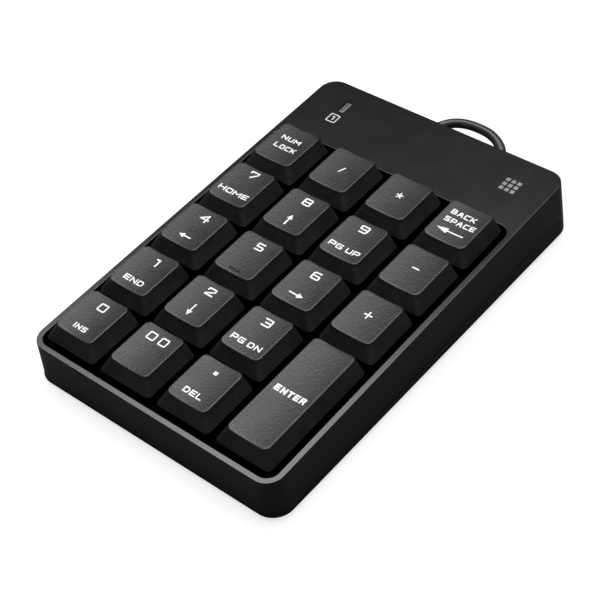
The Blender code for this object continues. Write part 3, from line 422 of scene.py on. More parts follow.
def finish_look(name, dark, light, rough, clouds, grain, bump, stretch=(1, 1, 1), metallic=0.0,
                specular=0.5, polish=None, matte=None, extra=None):
    """A moulded, rubbed or drawn surface.

    dark and light are the two tones it drifts between over patches of clouds millimetres; rough is its
    roughness range; grain is the size of its fine texture and bump that texture's height. The first
    attribute argument names a vertex attribute that marks edges for a painted highlight (a lighter
    colour) and for real gloss (a lower roughness); the second names one that marks recesses for painted
    shade (a near-black colour and no reflection).
    extra(tree, coords, colour) may paint more.
    """
    made = bpy.data.materials.new(name)
    made.use_nodes = True
    tree = made.node_tree
    coords = add(tree, "TexCoord", output="Object")
    place = add(tree, "Mapping", {"Vector": coords, "Scale": stretch})
    patches = noise(tree, place, clouds)
    fine = noise(tree, place, grain)
    colour = mix(tree, spread(tree, patches, 0.0, 1.0), dark, light)
    colour = mix(tree, spread(tree, fine, 0.0, 0.35), colour, light)
    both = add(tree, "Math", {0: patches, 1: fine}, operation="ADD")
    roughness = spread(tree, both, *rough, 0.75, 1.25)
    # Painted highlight: the marked edges get a lighter colour; their lower roughness is real gloss.
    if polish:
        share = add(tree, "Attribute", output="Fac", attribute_name=polish)
        colour = mix(tree, share, colour, tuple(part * 2.2 for part in light))
        factor = spread(tree, share, 1.0, 0.62, 0.0, 1.0)
        roughness = add(tree, "Math", {0: roughness, 1: factor}, operation="MULTIPLY")
    # Painted shade: the marked recesses get a near-black colour and no reflection.
    if matte:
        share = add(tree, "Attribute", output="Fac", attribute_name=matte)
        colour = mix(tree, share, colour, grey(0.001))
        specular = spread(tree, share, specular, 0.0, 0.0, 1.0)
    if extra:
        colour = extra(tree, coords, colour)
    relief = add(tree, "Bump", {"Height": fine, "Distance": bump * MM, "Strength": 1.0})
    connect(tree, tree.nodes["Principled BSDF"], {
        "Base Color": colour, "Roughness": roughness, "Normal": relief, "Metallic": metallic,
        "Specular IOR Level": specular,
    })
    return made


def grey(value):
    return (value, value, value)


def printed_tracks(tree, coords, colour):
    """Silver tracks printed on a foil, as bands in two directions."""
    for direction, pitch in (("X", 6.0), ("Y", 9.0)):
        links = {"Vector": coords, "Scale": 0.314 / (pitch * MM), "Distortion": 1.2}
        wave = add(tree, "TexWave", links, "Fac", wave_type="BANDS", bands_direction=direction)
        track = spread(tree, wave, 0.0, 0.8, 0.93, 0.96)
        colour = mix(tree, track, colour, (0.55, 0.56, 0.57))
    return colour


# Each look: its dark and light tone, roughness range, patch size, grain size, grain height and extras.
LOOKS = {
    # The case's key well takes painted shade through the recess attribute: near black, with no reflection.
    "case_plastic": (grey(0.004), grey(0.006), (0.2, 0.22), 7.0, 0.3, 0.003, {"matte": "recess"}),
    # The caps' tops are painted a lighter tone than their sides, which keep the case's own tone: painted
    # light from above. Their stronger grain is real.
    "cap_top_plastic": (grey(0.007), grey(0.011), (0.36, 0.46), 5.0, 0.7, 0.065,
                        {"specular": 0.36, "polish": "polish"}),
    "cap_side_plastic": (grey(0.004), grey(0.006), (0.38, 0.48), 6.0, 0.3, 0.004,
                         {"specular": 0.35, "polish": "polish"}),
    "legend_white": (grey(0.58), grey(0.66), (0.42, 0.55), 1.5, 0.12, 0.002, {}),
    "symbol_print": (grey(0.40), grey(0.47), (0.42, 0.55), 1.5, 0.12, 0.002, {}),
    "deck_print": (grey(0.12), grey(0.18), (0.4, 0.5), 1.5, 0.12, 0.002, {}),
    "lens_smoked": (grey(0.065), grey(0.085), (0.2, 0.3), 1.2, 0.3, 0.001, {}),
    "cable_vinyl": (grey(0.014), grey(0.020), (0.30, 0.40), 4.0, 0.35, 0.006, {}),
    "rubber_black": (grey(0.018), grey(0.026), (0.62, 0.78), 3.0, 0.18, 0.012, {}),
    "silicone_grey": ((0.33, 0.35, 0.35), (0.40, 0.42, 0.42), (0.5, 0.62), 5.0, 0.4, 0.004, {}),
    "steel_plated": ((0.50, 0.51, 0.53), (0.62, 0.63, 0.65), (0.24, 0.4), 2.5, 0.16, 0.003,
                     {"stretch": (1, 1, 0.3), "metallic": 1.0}),
    "sheet_steel": ((0.46, 0.47, 0.49), (0.56, 0.57, 0.59), (0.3, 0.45), 9.0, 0.2, 0.003,
                    {"stretch": (1, 0.12, 1), "metallic": 1.0}),
    "board_mask": ((0.012, 0.075, 0.026), (0.02, 0.11, 0.04), (0.28, 0.4), 3.0, 0.5, 0.004, {}),
    "chip_epoxy": (grey(0.022), grey(0.032), (0.5, 0.6), 2.0, 0.12, 0.006, {}),
    "nylon_white": ((0.66, 0.64, 0.58), (0.74, 0.72, 0.67), (0.4, 0.5), 3.0, 0.25, 0.004, {}),
    "led_green": ((0.12, 0.42, 0.16), (0.2, 0.55, 0.22), (0.12, 0.2), 1.0, 0.4, 0.001, {}),
    "foil_clear": ((0.50, 0.56, 0.54), (0.58, 0.64, 0.62), (0.18, 0.28), 8.0, 0.6, 0.002,
                   {"extra": printed_tracks}),
    "foil_spacer": ((0.36, 0.43, 0.50), (0.44, 0.51, 0.58), (0.25, 0.35), 8.0, 0.6, 0.002, {}),
}
MATERIALS = {}
for look, (*values, extras) in LOOKS.items():
    MATERIALS[look] = finish_look(look, *values, **extras)


# ---- case


def case_outline(z, inset=0.0):
    growth = -z * FLARE - inset
    return rounded_rectangle(CASE_HALF_X + growth, CASE_HALF_Y + growth, CASE_CORNER + growth)


def well_outline(grow=0.0):
    front = -CASE_HALF_Y + RIM
    centre = (0, (WELL_REAR + front) / 2)
    half_y = (WELL_REAR - front) / 2
    return rounded_rectangle(CASE_HALF_X - RIM + grow, half_y + grow, WELL_CORNER + grow, centre=centre)


def top_shell_body():
    seam = SEAM_Z + SEAM_GAP / 2
    rings = [ring(case_outline(seam, SEAM_CHAMFER), seam)]
    rings.append(ring(case_outline(seam + SEAM_CHAMFER), seam + SEAM_CHAMFER))
    rings += [ring(case_outline(-drop, inset), -drop) for inset, drop in quarter_arc(CASE_EDGE)]
    return solid("top_shell", rings)


def well_cutter():
    """The well, with a filleted foot and a rounded lip."""
    rings = [ring(well_outline(-WELL_FOOT), WELL_FLOOR_Z), ring(well_outline(), WELL_FLOOR_Z + WELL_FOOT)]
    rings += [ring(well_outline(inset), -drop) for inset, drop in quarter_arc(WELL_LIP)]
    rings.append(ring(well_outline(WELL_LIP), OVERRUN))
    return solid("well_cutter", rings)


def lower_cavity():
    low, high = SEAM_Z - OVERRUN, WELL_FLOOR_Z - WELL_FLOOR_THICK
    return solid("lower_cavity", [ring(case_outline(z, WALL), z) for z in (low, high)])


def rear_bay():
    front = WELL_REAR + WELL_REAR_WALL
    rear = CASE_HALF_Y - WALL
    outline = rounded_rectangle(CASE_HALF_X - WALL, (rear - front) / 2, WELL_CORNER,
                                centre=(0, (front + rear) / 2))
    low = WELL_FLOOR_Z - WELL_FLOOR_THICK - SHORT_OVERRUN
    return solid("rear_bay", prism(outline, low, -DECK_THICK))


def sleeves():
    """The square guides that the stems slide in, and the screw bosses."""
    low, high = SLEEVE_Z
    bodies = []
    narrow_half = SLEEVE_HALF - SLEEVE_CHAMFER
    for place in KEY_PLACES.values():
        outline = rounded_rectangle(SLEEVE_HALF, SLEEVE_HALF, 0.5, 3, place)
        narrow = rounded_rectangle(narrow_half, narrow_half, 0.4, 3, place)
        bodies.append([ring(outline, low), ring(outline, high - SLEEVE_CHAMFER), ring(narrow, high)])
    for x, y in BOSSES:
        top = WELL_FLOOR_Z - WELL_FLOOR_THICK / 2 if y < WELL_REAR else -DECK_THICK / 2
        bodies.append(post((x, y), BOSS_RADIUS, BOSS_END_Z, top, 24))
    return solid("sleeves", *bodies)


def wire_lugs():
    """Two lugs with bearings for the stabiliser wire of the double-height key."""
    (low_x, high_x), (low_z, high_z) = LUG_X, LUG_Z
    bodies = [box((low_x, y - LUG_HALF_Y, low_z), (high_x, y + LUG_HALF_Y, high_z)) for y in LUG_Y]
    return solid("wire_lugs", *bodies)


def cable_notch():
    return rod_along_y((CABLE_X, CASE_HALF_Y, CABLE_Z), NOTCH_RADIUS, WALL + OVERRUN, 40)


def top_holes():
    """Holes for the stems, the screws, the wire's tips, the light and the cable."""
    bodies = []
    for place in KEY_PLACES.values():
        outline = rounded_rectangle(STEM_HALF + GAP, STEM_HALF + GAP, 0.3, 3, place)
        bodies.append(prism(outline, SLEEVE_Z[0] - OVERRUN, SLEEVE_Z[1] + OVERRUN))
    for place in BOSSES:
        bodies.append(post(place, BOSS_HOLE_RADIUS, BOSS_END_Z - OVERRUN, BOSS_HOLE_TOP_Z, 20))
    hinge_x, hinge_z = WIRE_HINGE
    for y in LUG_Y:
        bodies.append(rod_along_y((hinge_x, y, hinge_z), BEARING_RADIUS, LUG_HALF_Y + SHORT_OVERRUN, 20))
    slot = rounded_rectangle(*SLOT_HALF, 0.3, 4, LIGHT_CENTRE)
    wide = rounded_rectangle(SLOT_HALF[0] + 0.15, SLOT_HALF[1] + 0.15, 0.45, 4, LIGHT_CENTRE)
    rings = [ring(slot, -DECK_THICK - SHORT_OVERRUN), ring(slot, -0.12), ring(wide, 0.03)]
    bodies.append(rings + [ring(wide, OVERRUN)])
    return solid("top_holes", *bodies, cable_notch())


def mark_painted_well_shade(mesh):
    """Marks the vertices down in the key well, which are painted near black, with no reflection, as shade.
    """
    marks = mesh.attributes.new("recess", "FLOAT", "POINT")
    for vert, mark in zip(mesh.vertices, marks.data):
        inside = abs(vert.co.x) < CASE_HALF_X - RIM + GAP and vert.co.y < WELL_REAR + GAP
        inside = inside and vert.co.y > RIM - CASE_HALF_Y - GAP
        mark.value = 1.0 if inside and vert.co.z < -2 * WELL_LIP else 0.0


def make_top_shell():
    steps = [("DIFFERENCE", make()) for make in (lower_cavity, rear_bay, well_cutter)]
    steps += [("UNION", sleeves()), ("UNION", wire_lugs()), ("DIFFERENCE", top_holes())]
    mesh = combined("top_shell", top_shell_body(), *steps)
    mark_painted_well_shade(mesh)
    add_piece("top_shell", mesh, ["case_plastic"], replaces=["top_case"], weighted=True)


def underside_z(y):
    """Deck-frame height of the flat underside, which is z = 0 in the row frame."""
    origin = DECK.inverted() @ Vector((0, 0, 0))
    return origin.z - (y - origin.y) * math.tan(TILT)


def inner_floor_z(y):
    """A height inside the floor, where what stands on the floor starts."""
    return underside_z(y) + FLOOR_THICK / 2


def sloped_ring(inset, lift):
    """The case's outline at its sloping underside, raised by lift."""
    return [(x, y, underside_z(y) + lift) for x, y in case_outline(underside_z(0), inset)]


def bottom_shell_body():
    rings = [sloped_ring(inset, drop) for inset, drop in reversed(list(quarter_arc(UNDERSIDE_EDGE)))]
    seam = SEAM_Z - SEAM_GAP / 2
    rings.append(ring(case_outline(seam - SEAM_CHAMFER), seam - SEAM_CHAMFER))
    rings.append(ring(case_outline(seam, SEAM_CHAMFER), seam))
    return solid("bottom_shell", rings)


def bottom_cavity():
    high = SEAM_Z + OVERRUN
    return solid("bottom_cavity", [sloped_ring(WALL, FLOOR_THICK), ring(case_outline(high, WALL), high)])


def posts():
    """Posts under the screw bosses, and ribs that carry the backing plate."""
    bodies = [post((x, y), POST_RADIUS, inner_floor_z(y), BOSS_END_Z - GAP) for x, y in BOSSES]
    plate_z = node_box("backing_plate")[0].z
    for x in sorted({round(key_x, 2) for key_x, _ in KEY_PLACES.values()}):
        outline = rectangle((x - RIB_HALF_THICK, RIB_Y[0]), (x + RIB_HALF_THICK, RIB_Y[1]))
        foot = [(px, py, inner_floor_z(py)) for px, py in outline]
        bodies.append([foot, ring(outline, plate_z - GAP)])
    return solid("posts", *bodies)


def board_posts():
    """Posts under the board. They overlap the screw posts, so they are a union step of their own."""
    low, high = node_box("controller_board")
    places = [*CLAMP_SCREWS.values(), (low.x + 1.4, high.y - 2.5), (high.x - 2.0, low.y + 5.5)]
    bodies = [post((x, y), BOARD_POST_RADIUS, inner_floor_z(y), low.z - GAP) for x, y in places]
    return solid("board_posts", *bodies)


def counterbores():
    top = SCREW_HEAD_TOP_Z + GAP
    radius = SCREW_HEAD_RADIUS + GAP
    bodies = [post((x, y), radius, underside_z(y) - OVERRUN, top) for x, y in BOSSES]
    return solid("counterbores", *bodies)


def screw_holes():
    """Holes for the case screws, the clamp's screws and the cable."""
    high = BOSS_END_Z + OVERRUN
    bodies = [post(place, BOSS_HOLE_RADIUS, SCREW_HEAD_TOP_Z, high, 20) for place in BOSSES]
    board_top = node_box("controller_board")[1].z
    for node, place in CLAMP_SCREWS.items():
        bodies.append(post(place, CLAMP_HOLE_RADIUS, node_box(node)[0].z - GAP, board_top, 20))
    return solid("screw_holes", *bodies, cable_notch())


def foot_pockets():
    """Round pockets that the feet are stuck into, laid out in the row frame."""
    bodies = []
    for node in FOOT_NODES:
        low, high = node_box(node, ROW)
        radius = (high.x - low.x) / 2 + GAP
        bodies.append(post(node_centre(node, ROW), radius, -OVERRUN, high.z + GAP, 48))
    mesh = solid("foot_pockets", *bodies)
    mesh.transform(DECK.inverted() @ ROW)
    return mesh


def make_bottom_shell():
    steps = [("DIFFERENCE", bottom_cavity()), ("UNION", posts()), ("UNION", board_posts())]
    steps += [("DIFFERENCE", make()) for make in (counterbores, screw_holes, foot_pockets)]
    mesh = combined("bottom_shell", bottom_shell_body(), *steps)
    add_piece("bottom_shell", mesh, ["case_plastic"], replaces=["bottom_case"], weighted=True)


# ---- keycaps


def dish_z(x):
    """Height of the top's cylindrical dish at x from the key's middle."""
    return CAP_TOP_Z - DISH_DEPTH + DISH_RADIUS - math.sqrt(DISH_RADIUS**2 - x**2)


def cap_outline(share, inset, stretch):
    """Cap outline at a share of the way from the skirt's edge to the top, moved in by inset."""
    half_x = CAP_BASE_HALF[0] + (CAP_TOP_HALF[0] - CAP_BASE_HALF[0]) * share - inset
    half_y = CAP_BASE_HALF[1] + (CAP_TOP_HALF[1] - CAP_BASE_HALF[1]) * share + stretch - inset
    radius = CAP_BASE_CORNER + (CAP_TOP_CORNER - CAP_BASE_CORNER) * share - inset
    centre = (0, CAP_SHIFT_Y * share)
    return rounded_rectangle(half_x, half_y, max(radius, 0.15), CAP_CORNER_STEPS, centre, CAP_SIDE_STEPS)


def barbed(outline):
    """The stem's outline with a barb out of its left and its right side."""
    return [
        (math.copysign(BARB_HALF_X, x) if abs(y) < BARB_HALF_Y and abs(x) > STEM_HALF - GAP else x, y)
        for x, y in outline
    ]


def cap_mesh(stretch):
    """A hollow cap with its stem, as one skin: stem, ceiling, inner wall, skirt, sides, edge, dish."""
    def section(z, inset):
        share = (z - CAP_BASE_Z) / (CAP_TOP_Z - CAP_BASE_Z)
        return ring(cap_outline(share, inset, stretch), z)

    stem = rounded_rectangle(STEM_HALF, STEM_HALF, 0.3, CAP_CORNER_STEPS, side_steps=CAP_SIDE_STEPS)
    rings = [ring(stem, STEM_END_Z), ring(barbed(stem), BARB_LOW_Z), ring(barbed(stem), BARB_TOP_Z)]
    rings += [ring(stem, BARB_TOP_Z), ring(stem, CAP_CEILING_Z), section(CAP_CEILING_Z, CAP_WALL)]
    rings += [section(CAP_BASE_Z, CAP_WALL), section(CAP_BASE_Z, CAP_SKIRT)]
    rings.append(section(CAP_BASE_Z + CAP_SKIRT, 0))
    foot = section(CAP_BASE_Z, 0)
    edge = [(x, y, dish_z(x) - CAP_FILLET) for x, y in cap_outline(1, 0, stretch)]
    for share in CAP_SIDE_SHARES:
        rings.append([
            tuple(a + (b - a) * share for a, b in zip(low, high)) for low, high in zip(foot, edge)
        ])
    first_edge_ring = len(rings)
    for inset, drop in quarter_arc(CAP_FILLET):
        rings.append([(x, y, dish_z(x) - drop) for x, y in cap_outline(1, inset, stretch)])
    last_edge_ring = len(rings) - 1
    rim = rings[-1]
    for share in CAP_DISH_SHARES:
        rings.append([
            (x * share, CAP_SHIFT_Y + (y - CAP_SHIFT_Y) * share, dish_z(x * share)) for x, y, _ in rim
        ])
    bm = bmesh.new()
    # Weights for a painted highlight along the fillet round the cap's top: a lighter colour, strongest
    # mid-fillet.
    polish = bm.verts.layers.float.new("polish")
    # Slot 0, the dish and the last step of the fillet, takes the top look, whose lighter tone is painted
    # light from above; slot 1 takes the sides' plain tone.
    slots = [1] * (last_edge_ring - 1) + [0] * (len(rings) - last_edge_ring)
    loops = loft(bm, rings, slots)
    middle = (first_edge_ring + last_edge_ring) / 2
    for number in range(first_edge_ring, last_edge_ring + 1):
        for vert in loops[number]:
            vert[polish] = 1 - abs(number - middle) / (last_edge_ring - middle + 1)
    return mesh_from("cap", bm)


def make_caps():
    for node, x, y, stretch in KEYS:
        mesh = cap_mesh(stretch)
        mesh.transform(Matrix.Translation((x, y, 0)))
        name = node.replace("key_", "cap_")
        add_piece(name, mesh, ["cap_top_plastic", "cap_side_plastic"], node, replaces=[node], sharp=50)


def make_wire_hooks():
    """Two hooks under the double-height cap, open to the right, which hold the wire's long bar."""
    bar_x, bar_z = WIRE_BAR
    for number, side in enumerate((1, -1), 1):
        y = KEY_PLACES["key_enter"][1] + side * HOOK_REACH_Y
        outline = rounded_rectangle(*HOOK_HALF, 0.2, 3, (bar_x + 0.1, y))
        body = solid("hook_body", prism(outline, bar_z - HOOK_DROP, CAP_CEILING_Z + 0.1))
        low = (bar_x - HOOK_SLOT_HALF, y - OVERRUN, bar_z - HOOK_SLOT_HALF)
        slot = solid("hook_slot", box(low, (bar_x + OVERRUN, y + OVERRUN, bar_z + HOOK_SLOT_HALF)))
        name = f"cap_enter_hook_{number}"
        mesh = combined(name, body, ("DIFFERENCE", slot))
        add_piece(name, mesh, ["cap_side_plastic"], "key_enter", sharp=40)


def make_homing_bar():
    """A rounded bar near the front of the middle key's top."""
    x, y = KEY_PLACES["key_5"]
    centre = (x, y + CAP_SHIFT_Y + HOMING_BAR_SHIFT_Y)
    base = CAP_TOP_Z - DISH_DEPTH
    rings = []
    for inset, z in ((0, -0.2), (0, 0.12), (0.04, 0.2), (0.12, 0.27), (0.2, 0.3)):
        half_x, half_y = (half - inset for half in HOMING_BAR_HALF)
        outline = rounded_rectangle(half_x, half_y, half_y - 0.01, 6, centre)
        rings.append(ring(outline, base + z))
    add_piece("cap_5_homing_bar", solid("homing_bar", rings), ["cap_top_plastic"], "key_5", sharp=60)


# ---- legends

# Each stroke is a run of points on an 8 by 8 grid, written as x then y, with s after a sharp corner.
# Commas part the strokes.
GLYPHS = {
    "0": "00 80 88 08 00",
    "1": "08 88s 80",
    "2": "06 08 88 85 01 00s 80",
    "3": "08 88 84 24,24 84 80 00",
    "4": "68 03s 83,68 60",
    "5": "78 08s 04s 74 83 81 70 00",
    "6": "78 18 06 00 80 84 04",
    "7": "06 08s 88s 86 30",
    "8": "00 80 84 04 00s,04 08 88 84",
    "9": "84 04 08 88 82 70 10",
    "A": "00 38 58 80,13 73",
    "B": "04 00s 80 84 04,04 08s 78 74",
    "C": "88 08 00 80",
    "D": "00s 08s 68 86 82 60 00s",
    "E": "88 08s 00s 80,04 74",
    "G": "88 08 00 80 84 44",
    "H": "00 08,80 88,04 84",
    "I": "00 08",
    "K": "00 08,04 34 88,34 80",
    "L": "08 00s 80",
    "M": "00 08s 43 88s 80",
    "N": "00 08s 80s 88",
    "O": "00 80 88 08 00",
    "P": "00 08s 88 83 03",
    "R": "00 08s 88 84 04,44 80",
    "S": "88 08 04 84 80 00",
    "T": "08 88,48 40",
    "U": "08 00 80 88",
    "/": "00 88",
    "-": "04 84",
    "+": "04 84,40 48",
}
GLYPH_WIDTHS = {"I": 0.0, "1": 0.35, "M": 1.3, "N": 1.05, "4": 1.05, " ": 0.05}
GRID = 8
LETTER_GAP = 0.36
DIGIT_STROKE = 0.47
THIN_STROKE = 0.42
WORD_STROKE = 0.38
BEND = 0.11  # corner radius as a share of the letter's height
BEND_STEPS = 4
SHARP_TURN = math.radians(100)  # a path that turns further than this keeps a sharp corner
MITRE_LIMIT = 0.62


def bend(start, corner, end, steps):
    """Points of a curve that leaves start towards corner and arrives at end from there."""
    for step in range(steps + 1):
        t = step / steps
        yield start * (1 - t) ** 2 + corner * 2 * t * (1 - t) + end * t**2


def rounded_path(corners, sharp, radius):
    """The path with its soft corners rounded. A path that ends where it starts is closed."""
    closed = corners[0] == corners[-1]
    if closed:
        corners, sharp = corners[:-1], sharp[:-1]
    count = len(corners)
    made = []
    for k, here in enumerate(corners):
        before = corners[k - 1] - here
        after = corners[(k + 1) % count] - here
        end = not closed and k in (0, count - 1)
        if end or sharp[k] or before.angle(-after) > SHARP_TURN:
            made.append(here)
            continue
        cut = min(radius, before.length * 0.45, after.length * 0.45)
        start = here + before.normalized() * cut
        stop = here + after.normalized() * cut
        made += bend(start, here, stop, BEND_STEPS)
    return made, closed


def ribbon(points, closed, width):
    """Flat shapes that cover a band round a path: one for each piece, and one for each corner."""
    half = width / 2
    points = list(points)
    if not closed:
        first, last = (points[0] - points[1]).normalized(), (points[-1] - points[-2]).normalized()
        points[0] = points[0] + first * half
        points[-1] = points[-1] + last * half
    pieces = list(zip(points, points[1:]))
    if closed:
        pieces.append((points[-1], points[0]))
    shapes = []
    headings = []
    for a, b in pieces:
        heading = (b - a).normalized()
        across = Vector((-heading.y, heading.x)) * half
        headings.append(heading)
        shapes.append([a + across, a - across, b - across, b + across])
    for k in range(len(pieces) - (0 if closed else 1)):
        corner = pieces[k][1]
        arrive, leave = headings[k], headings[(k + 1) % len(headings)]
        turn = arrive.cross(leave)
        if abs(turn) < 0.02:
            continue
        side = -1 if turn > 0 else 1
        normals = [Vector((-heading.y, heading.x)) * side for heading in (arrive, leave)]
        middle = (normals[0] + normals[1]).normalized()
        tip = middle * half / max(MITRE_LIMIT, middle.dot(normals[0]))
        shapes.append([corner, corner + normals[0] * half, corner + tip, corner + normals[1] * half])
    return shapes


def lettering(text, centre, width, height, stroke):
    """Shapes of a line of text that is width wide, round its centre."""
    shares = [GLYPH_WIDTHS.get(char, 1.0) for char in text]
    count = len(text)
    unit = (width - count * stroke - (count - 1) * LETTER_GAP) / max(sum(shares), 0.01)
    tall = height - stroke
    left = centre[0] - width / 2 + stroke / 2
    low = centre[1] - tall / 2
    shapes = []
    for char, share in zip(text, shares):
        wide = unit * share
        for run in GLYPHS.get(char, "").split(","):
            marks = run.split()
            corners = [
                Vector((left + int(mark[0]) / GRID * wide, low + int(mark[1]) / GRID * tall))
                for mark in marks
            ]
            if corners:
                path, closed = rounded_path(corners, [mark.endswith("s") for mark in marks], height * BEND)
                shapes += ribbon(path, closed, stroke)
        left += wide + stroke + LETTER_GAP
    return shapes


def arrow(tail, tip, shaft, head_length, head_half):
    """A straight arrow with a filled head."""
    tail, tip = Vector(tail), Vector(tip)
    along = (tip - tail).normalized()
    across = Vector((-along.y, along.x))
    neck = tip - along * head_length
    bar = [tail + across * shaft / 2, tail - across * shaft / 2, neck - across * shaft / 2 + along * 0.1,
           neck + across * shaft / 2 + along * 0.1]
    head = [neck + across * head_half, neck - across * head_half, tip]
    return [bar, head]


def star(centre, radius, stroke):
    """An asterisk of five short arms."""
    shapes = []
    for arm in range(5):
        angle = math.pi / 2 + arm * math.tau / 5
        end = Vector(centre) + Vector((math.cos(angle), math.sin(angle))) * (radius - stroke / 2)
        shapes += ribbon([Vector(centre), end], False, stroke)
    return shapes


def covered(shapes, cut_spacing):
    """(points, triangles) that cover flat shapes which may overlap, cut along lines of constant x."""
    points, faces, edges = [], [], []
    for shape in shapes:
        area = sum(a[0] * b[1] - b[0] * a[1] for a, b in zip(shape, shape[1:] + shape[:1]))
        turned = list(shape) if area > 0 else list(reversed(shape))
        faces.append(list(range(len(points), len(points) + len(turned))))
        points += [Vector(point) for point in turned]
    low_y = min(point.y for point in points) - 1
    high_y = max(point.y for point in points) + 1
    low_x = min(point.x for point in points)
    high_x = max(point.x for point in points)
    for number in range(math.ceil(low_x / cut_spacing), math.floor(high_x / cut_spacing) + 1):
        edges.append((len(points), len(points) + 1))
        points += [Vector((number * cut_spacing, low_y)), Vector((number * cut_spacing, high_y))]
    flat, _, triangles, _, _, owners = delaunay_2d_cdt(points, edges, faces, 0, 1e-4, True)
    return flat, [triangle for triangle, owner in zip(triangles, owners) if owner]


def inlay_mesh(name, shapes, surface, place):
    """Flat shapes as a thin solid that follows surface(x), moved to place."""
    flat, triangles = covered(shapes, LEGEND_CUTS)
    used = sorted({index for triangle in triangles for index in triangle})
    bm = bmesh.new()
    upper, lower = {}, {}
    for index in used:
        x, y = flat[index]
        upper[index] = bm.verts.new((x, y, surface(x) + LEGEND_RAISE))
        lower[index] = bm.verts.new((x, y, surface(x) - LEGEND_ROOT))
    sides = {}
    for triangle in triangles:
        bm.faces.new([upper[index] for index in triangle])
        bm.faces.new([lower[index] for index in reversed(triangle)])
        for a, b in zip(triangle, list(triangle[1:]) + [triangle[0]]):
            sides[(a, b)] = True
    for a, b in sides:
        if (b, a) not in sides:
            bm.faces.new((upper[b], upper[a], lower[a], lower[b]))
    mesh = mesh_from(name, bm)
    mesh.transform(Matrix.Translation(place))
    return mesh


def digit(text, x, y, width=2.7, height=2.65):
    return lettering(text, (x, y), width, height, DIGIT_STROKE)


def word(text, x, y, width, height=1.75):
    return lettering(text, (x, y), width, height, WORD_STROKE)


# Places are measured from the middle of the key's top face.
LEGENDS = {
    "num_lock": word("NUM", -0.28, 2.2, 6.3, 1.6) + word("LOCK", 0.2, -1.25, 7.2, 1.7),
    "divide": lettering("/", (-0.07, 0.2), 1.2, 2.2, THIN_STROKE),
    "multiply": star((-0.05, 0.5), 1.05, THIN_STROKE),
    "backspace": word("BACK", -0.54, 3.2, 7.4) + word("SPACE", 0.26, 0.25, 9.2)
    + arrow((3.7, -3.4), (-4.3, -3.4), THIN_STROKE, 3.2, 0.95),
    "7": digit("7", 0.18, 4.7, 2.85) + word("HOME", 0.0, -3.37, 10.0),
    "8": digit("8", 0.2, 4.4) + arrow((0, -5.25), (0, -1.35), 0.5, 1.6, 0.85),
    "9": digit("9", 0.0, 4.45, 2.8) + word("PG UP", -0.1, -3.76, 9.6),
    "minus": lettering("-", (0.15, 0.57), 2.1, 2.0, DIGIT_STROKE),
    "4": digit("4", 0.23, 3.96, 3.0, 2.85) + arrow((2.0, -3.75), (-2.0, -3.75), THIN_STROKE, 1.7, 0.85),
    "5": digit("5", 0.46, 3.9, 2.55),
    "6": digit("6", -0.02, 3.9, 2.7) + arrow((-2.5, -3.85), (1.9, -3.85), THIN_STROKE, 1.7, 0.9),
    "plus": lettering("+", (-0.15, 0.65), 2.45, 2.45, THIN_STROKE),
    "1": digit("1", 0.5, 3.8, 1.4) + word("END", -0.15, -3.9, 6.5),
    "2": digit("2", 0.26, 4.0) + arrow((0, -1.1), (0, -5.15), THIN_STROKE, 1.6, 0.85),
    "3": digit("3", 0.0, 4.0) + word("PG DN", -0.18, -3.8, 9.4),
    "0": lettering("0", (-0.04, 3.7), 2.65, 2.6, THIN_STROKE) + word("INS", -0.16, -4.2, 4.3, 1.6),
    "00": lettering("0", (-2.05, 3.85), 2.6, 2.6, THIN_STROKE)
    + lettering("0", (1.87, 3.85), 2.6, 2.6, THIN_STROKE),
    "decimal": [rounded_rectangle(0.55, 0.55, 0.12, 3, (0.04, 3.75))] + word("DEL", -0.38, -3.87, 5.8),
    "enter": lettering("ENTER", (0.0, -0.68), 9.2, 1.9, 0.5),
}


def make_legends():
    for node, (x, y) in KEY_PLACES.items():
        key = node[len("key_"):]
        place = (x, y + CAP_SHIFT_Y, 0)
        mesh = inlay_mesh("legend_" + key, LEGENDS[key], dish_z, place)
        add_piece("legend_" + key, mesh, ["legend_white"], node, sharp=40)


def add_deck_print(name, shapes, place, look):
    mesh = inlay_mesh(name, shapes, lambda x: 0.0, (*place, 0))
    add_piece(name, mesh, [look], sharp=40)


def make_deck_prints():
    """The lock light's symbol, a 1 in a box, and a plain nine-dot keypad symbol."""
    outer = rounded_rectangle(1.62, 1.72, 0.4, 4)
    inner = rounded_rectangle(1.26, 1.36, 0.2, 4)
    shapes = [
        [outer[k], outer[(k + 1) % len(outer)], inner[(k + 1) % len(inner)], inner[k]]
        for k in range(len(outer))
    ]
    shapes += lettering("1", (-0.05, 0), 0.85, 1.6, WORD_STROKE)
    add_deck_print("light_symbol", shapes, (LIGHT_CENTRE[0], LIGHT_SYMBOL_Y), "symbol_print")
    pitch = 1.75
    places = [(column * pitch, row * pitch) for column in (-1, 0, 1) for row in (-1, 0, 1)]
    dots = [rounded_rectangle(0.6, 0.6, 0.2, 3, place) for place in places]
    add_deck_print("keypad_symbol", dots, KEYPAD_SYMBOL_PLACE, "deck_print")


# ---- light, rubber and wire


def make_lens():
    """The light pipe: a flange under the deck, and a rounded window in the slot."""
    half_x, half_y = SLOT_HALF[0] - 0.1, SLOT_HALF[1] - 0.1
    flange = rounded_rectangle(*LENS_FLANGE_HALF, 0.3, 6, LIGHT_CENTRE)
    flange_top = LENS_LOW_Z + LENS_FLANGE_THICK
    rings = [ring(flange, LENS_LOW_Z), ring(flange, flange_top)]
    for inset, z in ((0, flange_top), (0, -0.36), (0.05, -0.24), (0.16, -0.17), (0.34, -0.14)):
        outline = rounded_rectangle(half_x - inset, half_y - inset, max(0.3 - inset, 0.05), 6, LIGHT_CENTRE)
        rings.append(ring(outline, z))
    add_piece("light_lens", solid("light_lens", rings), ["lens_smoked"], replaces=["status_light_pipe"],
              sharp=50)


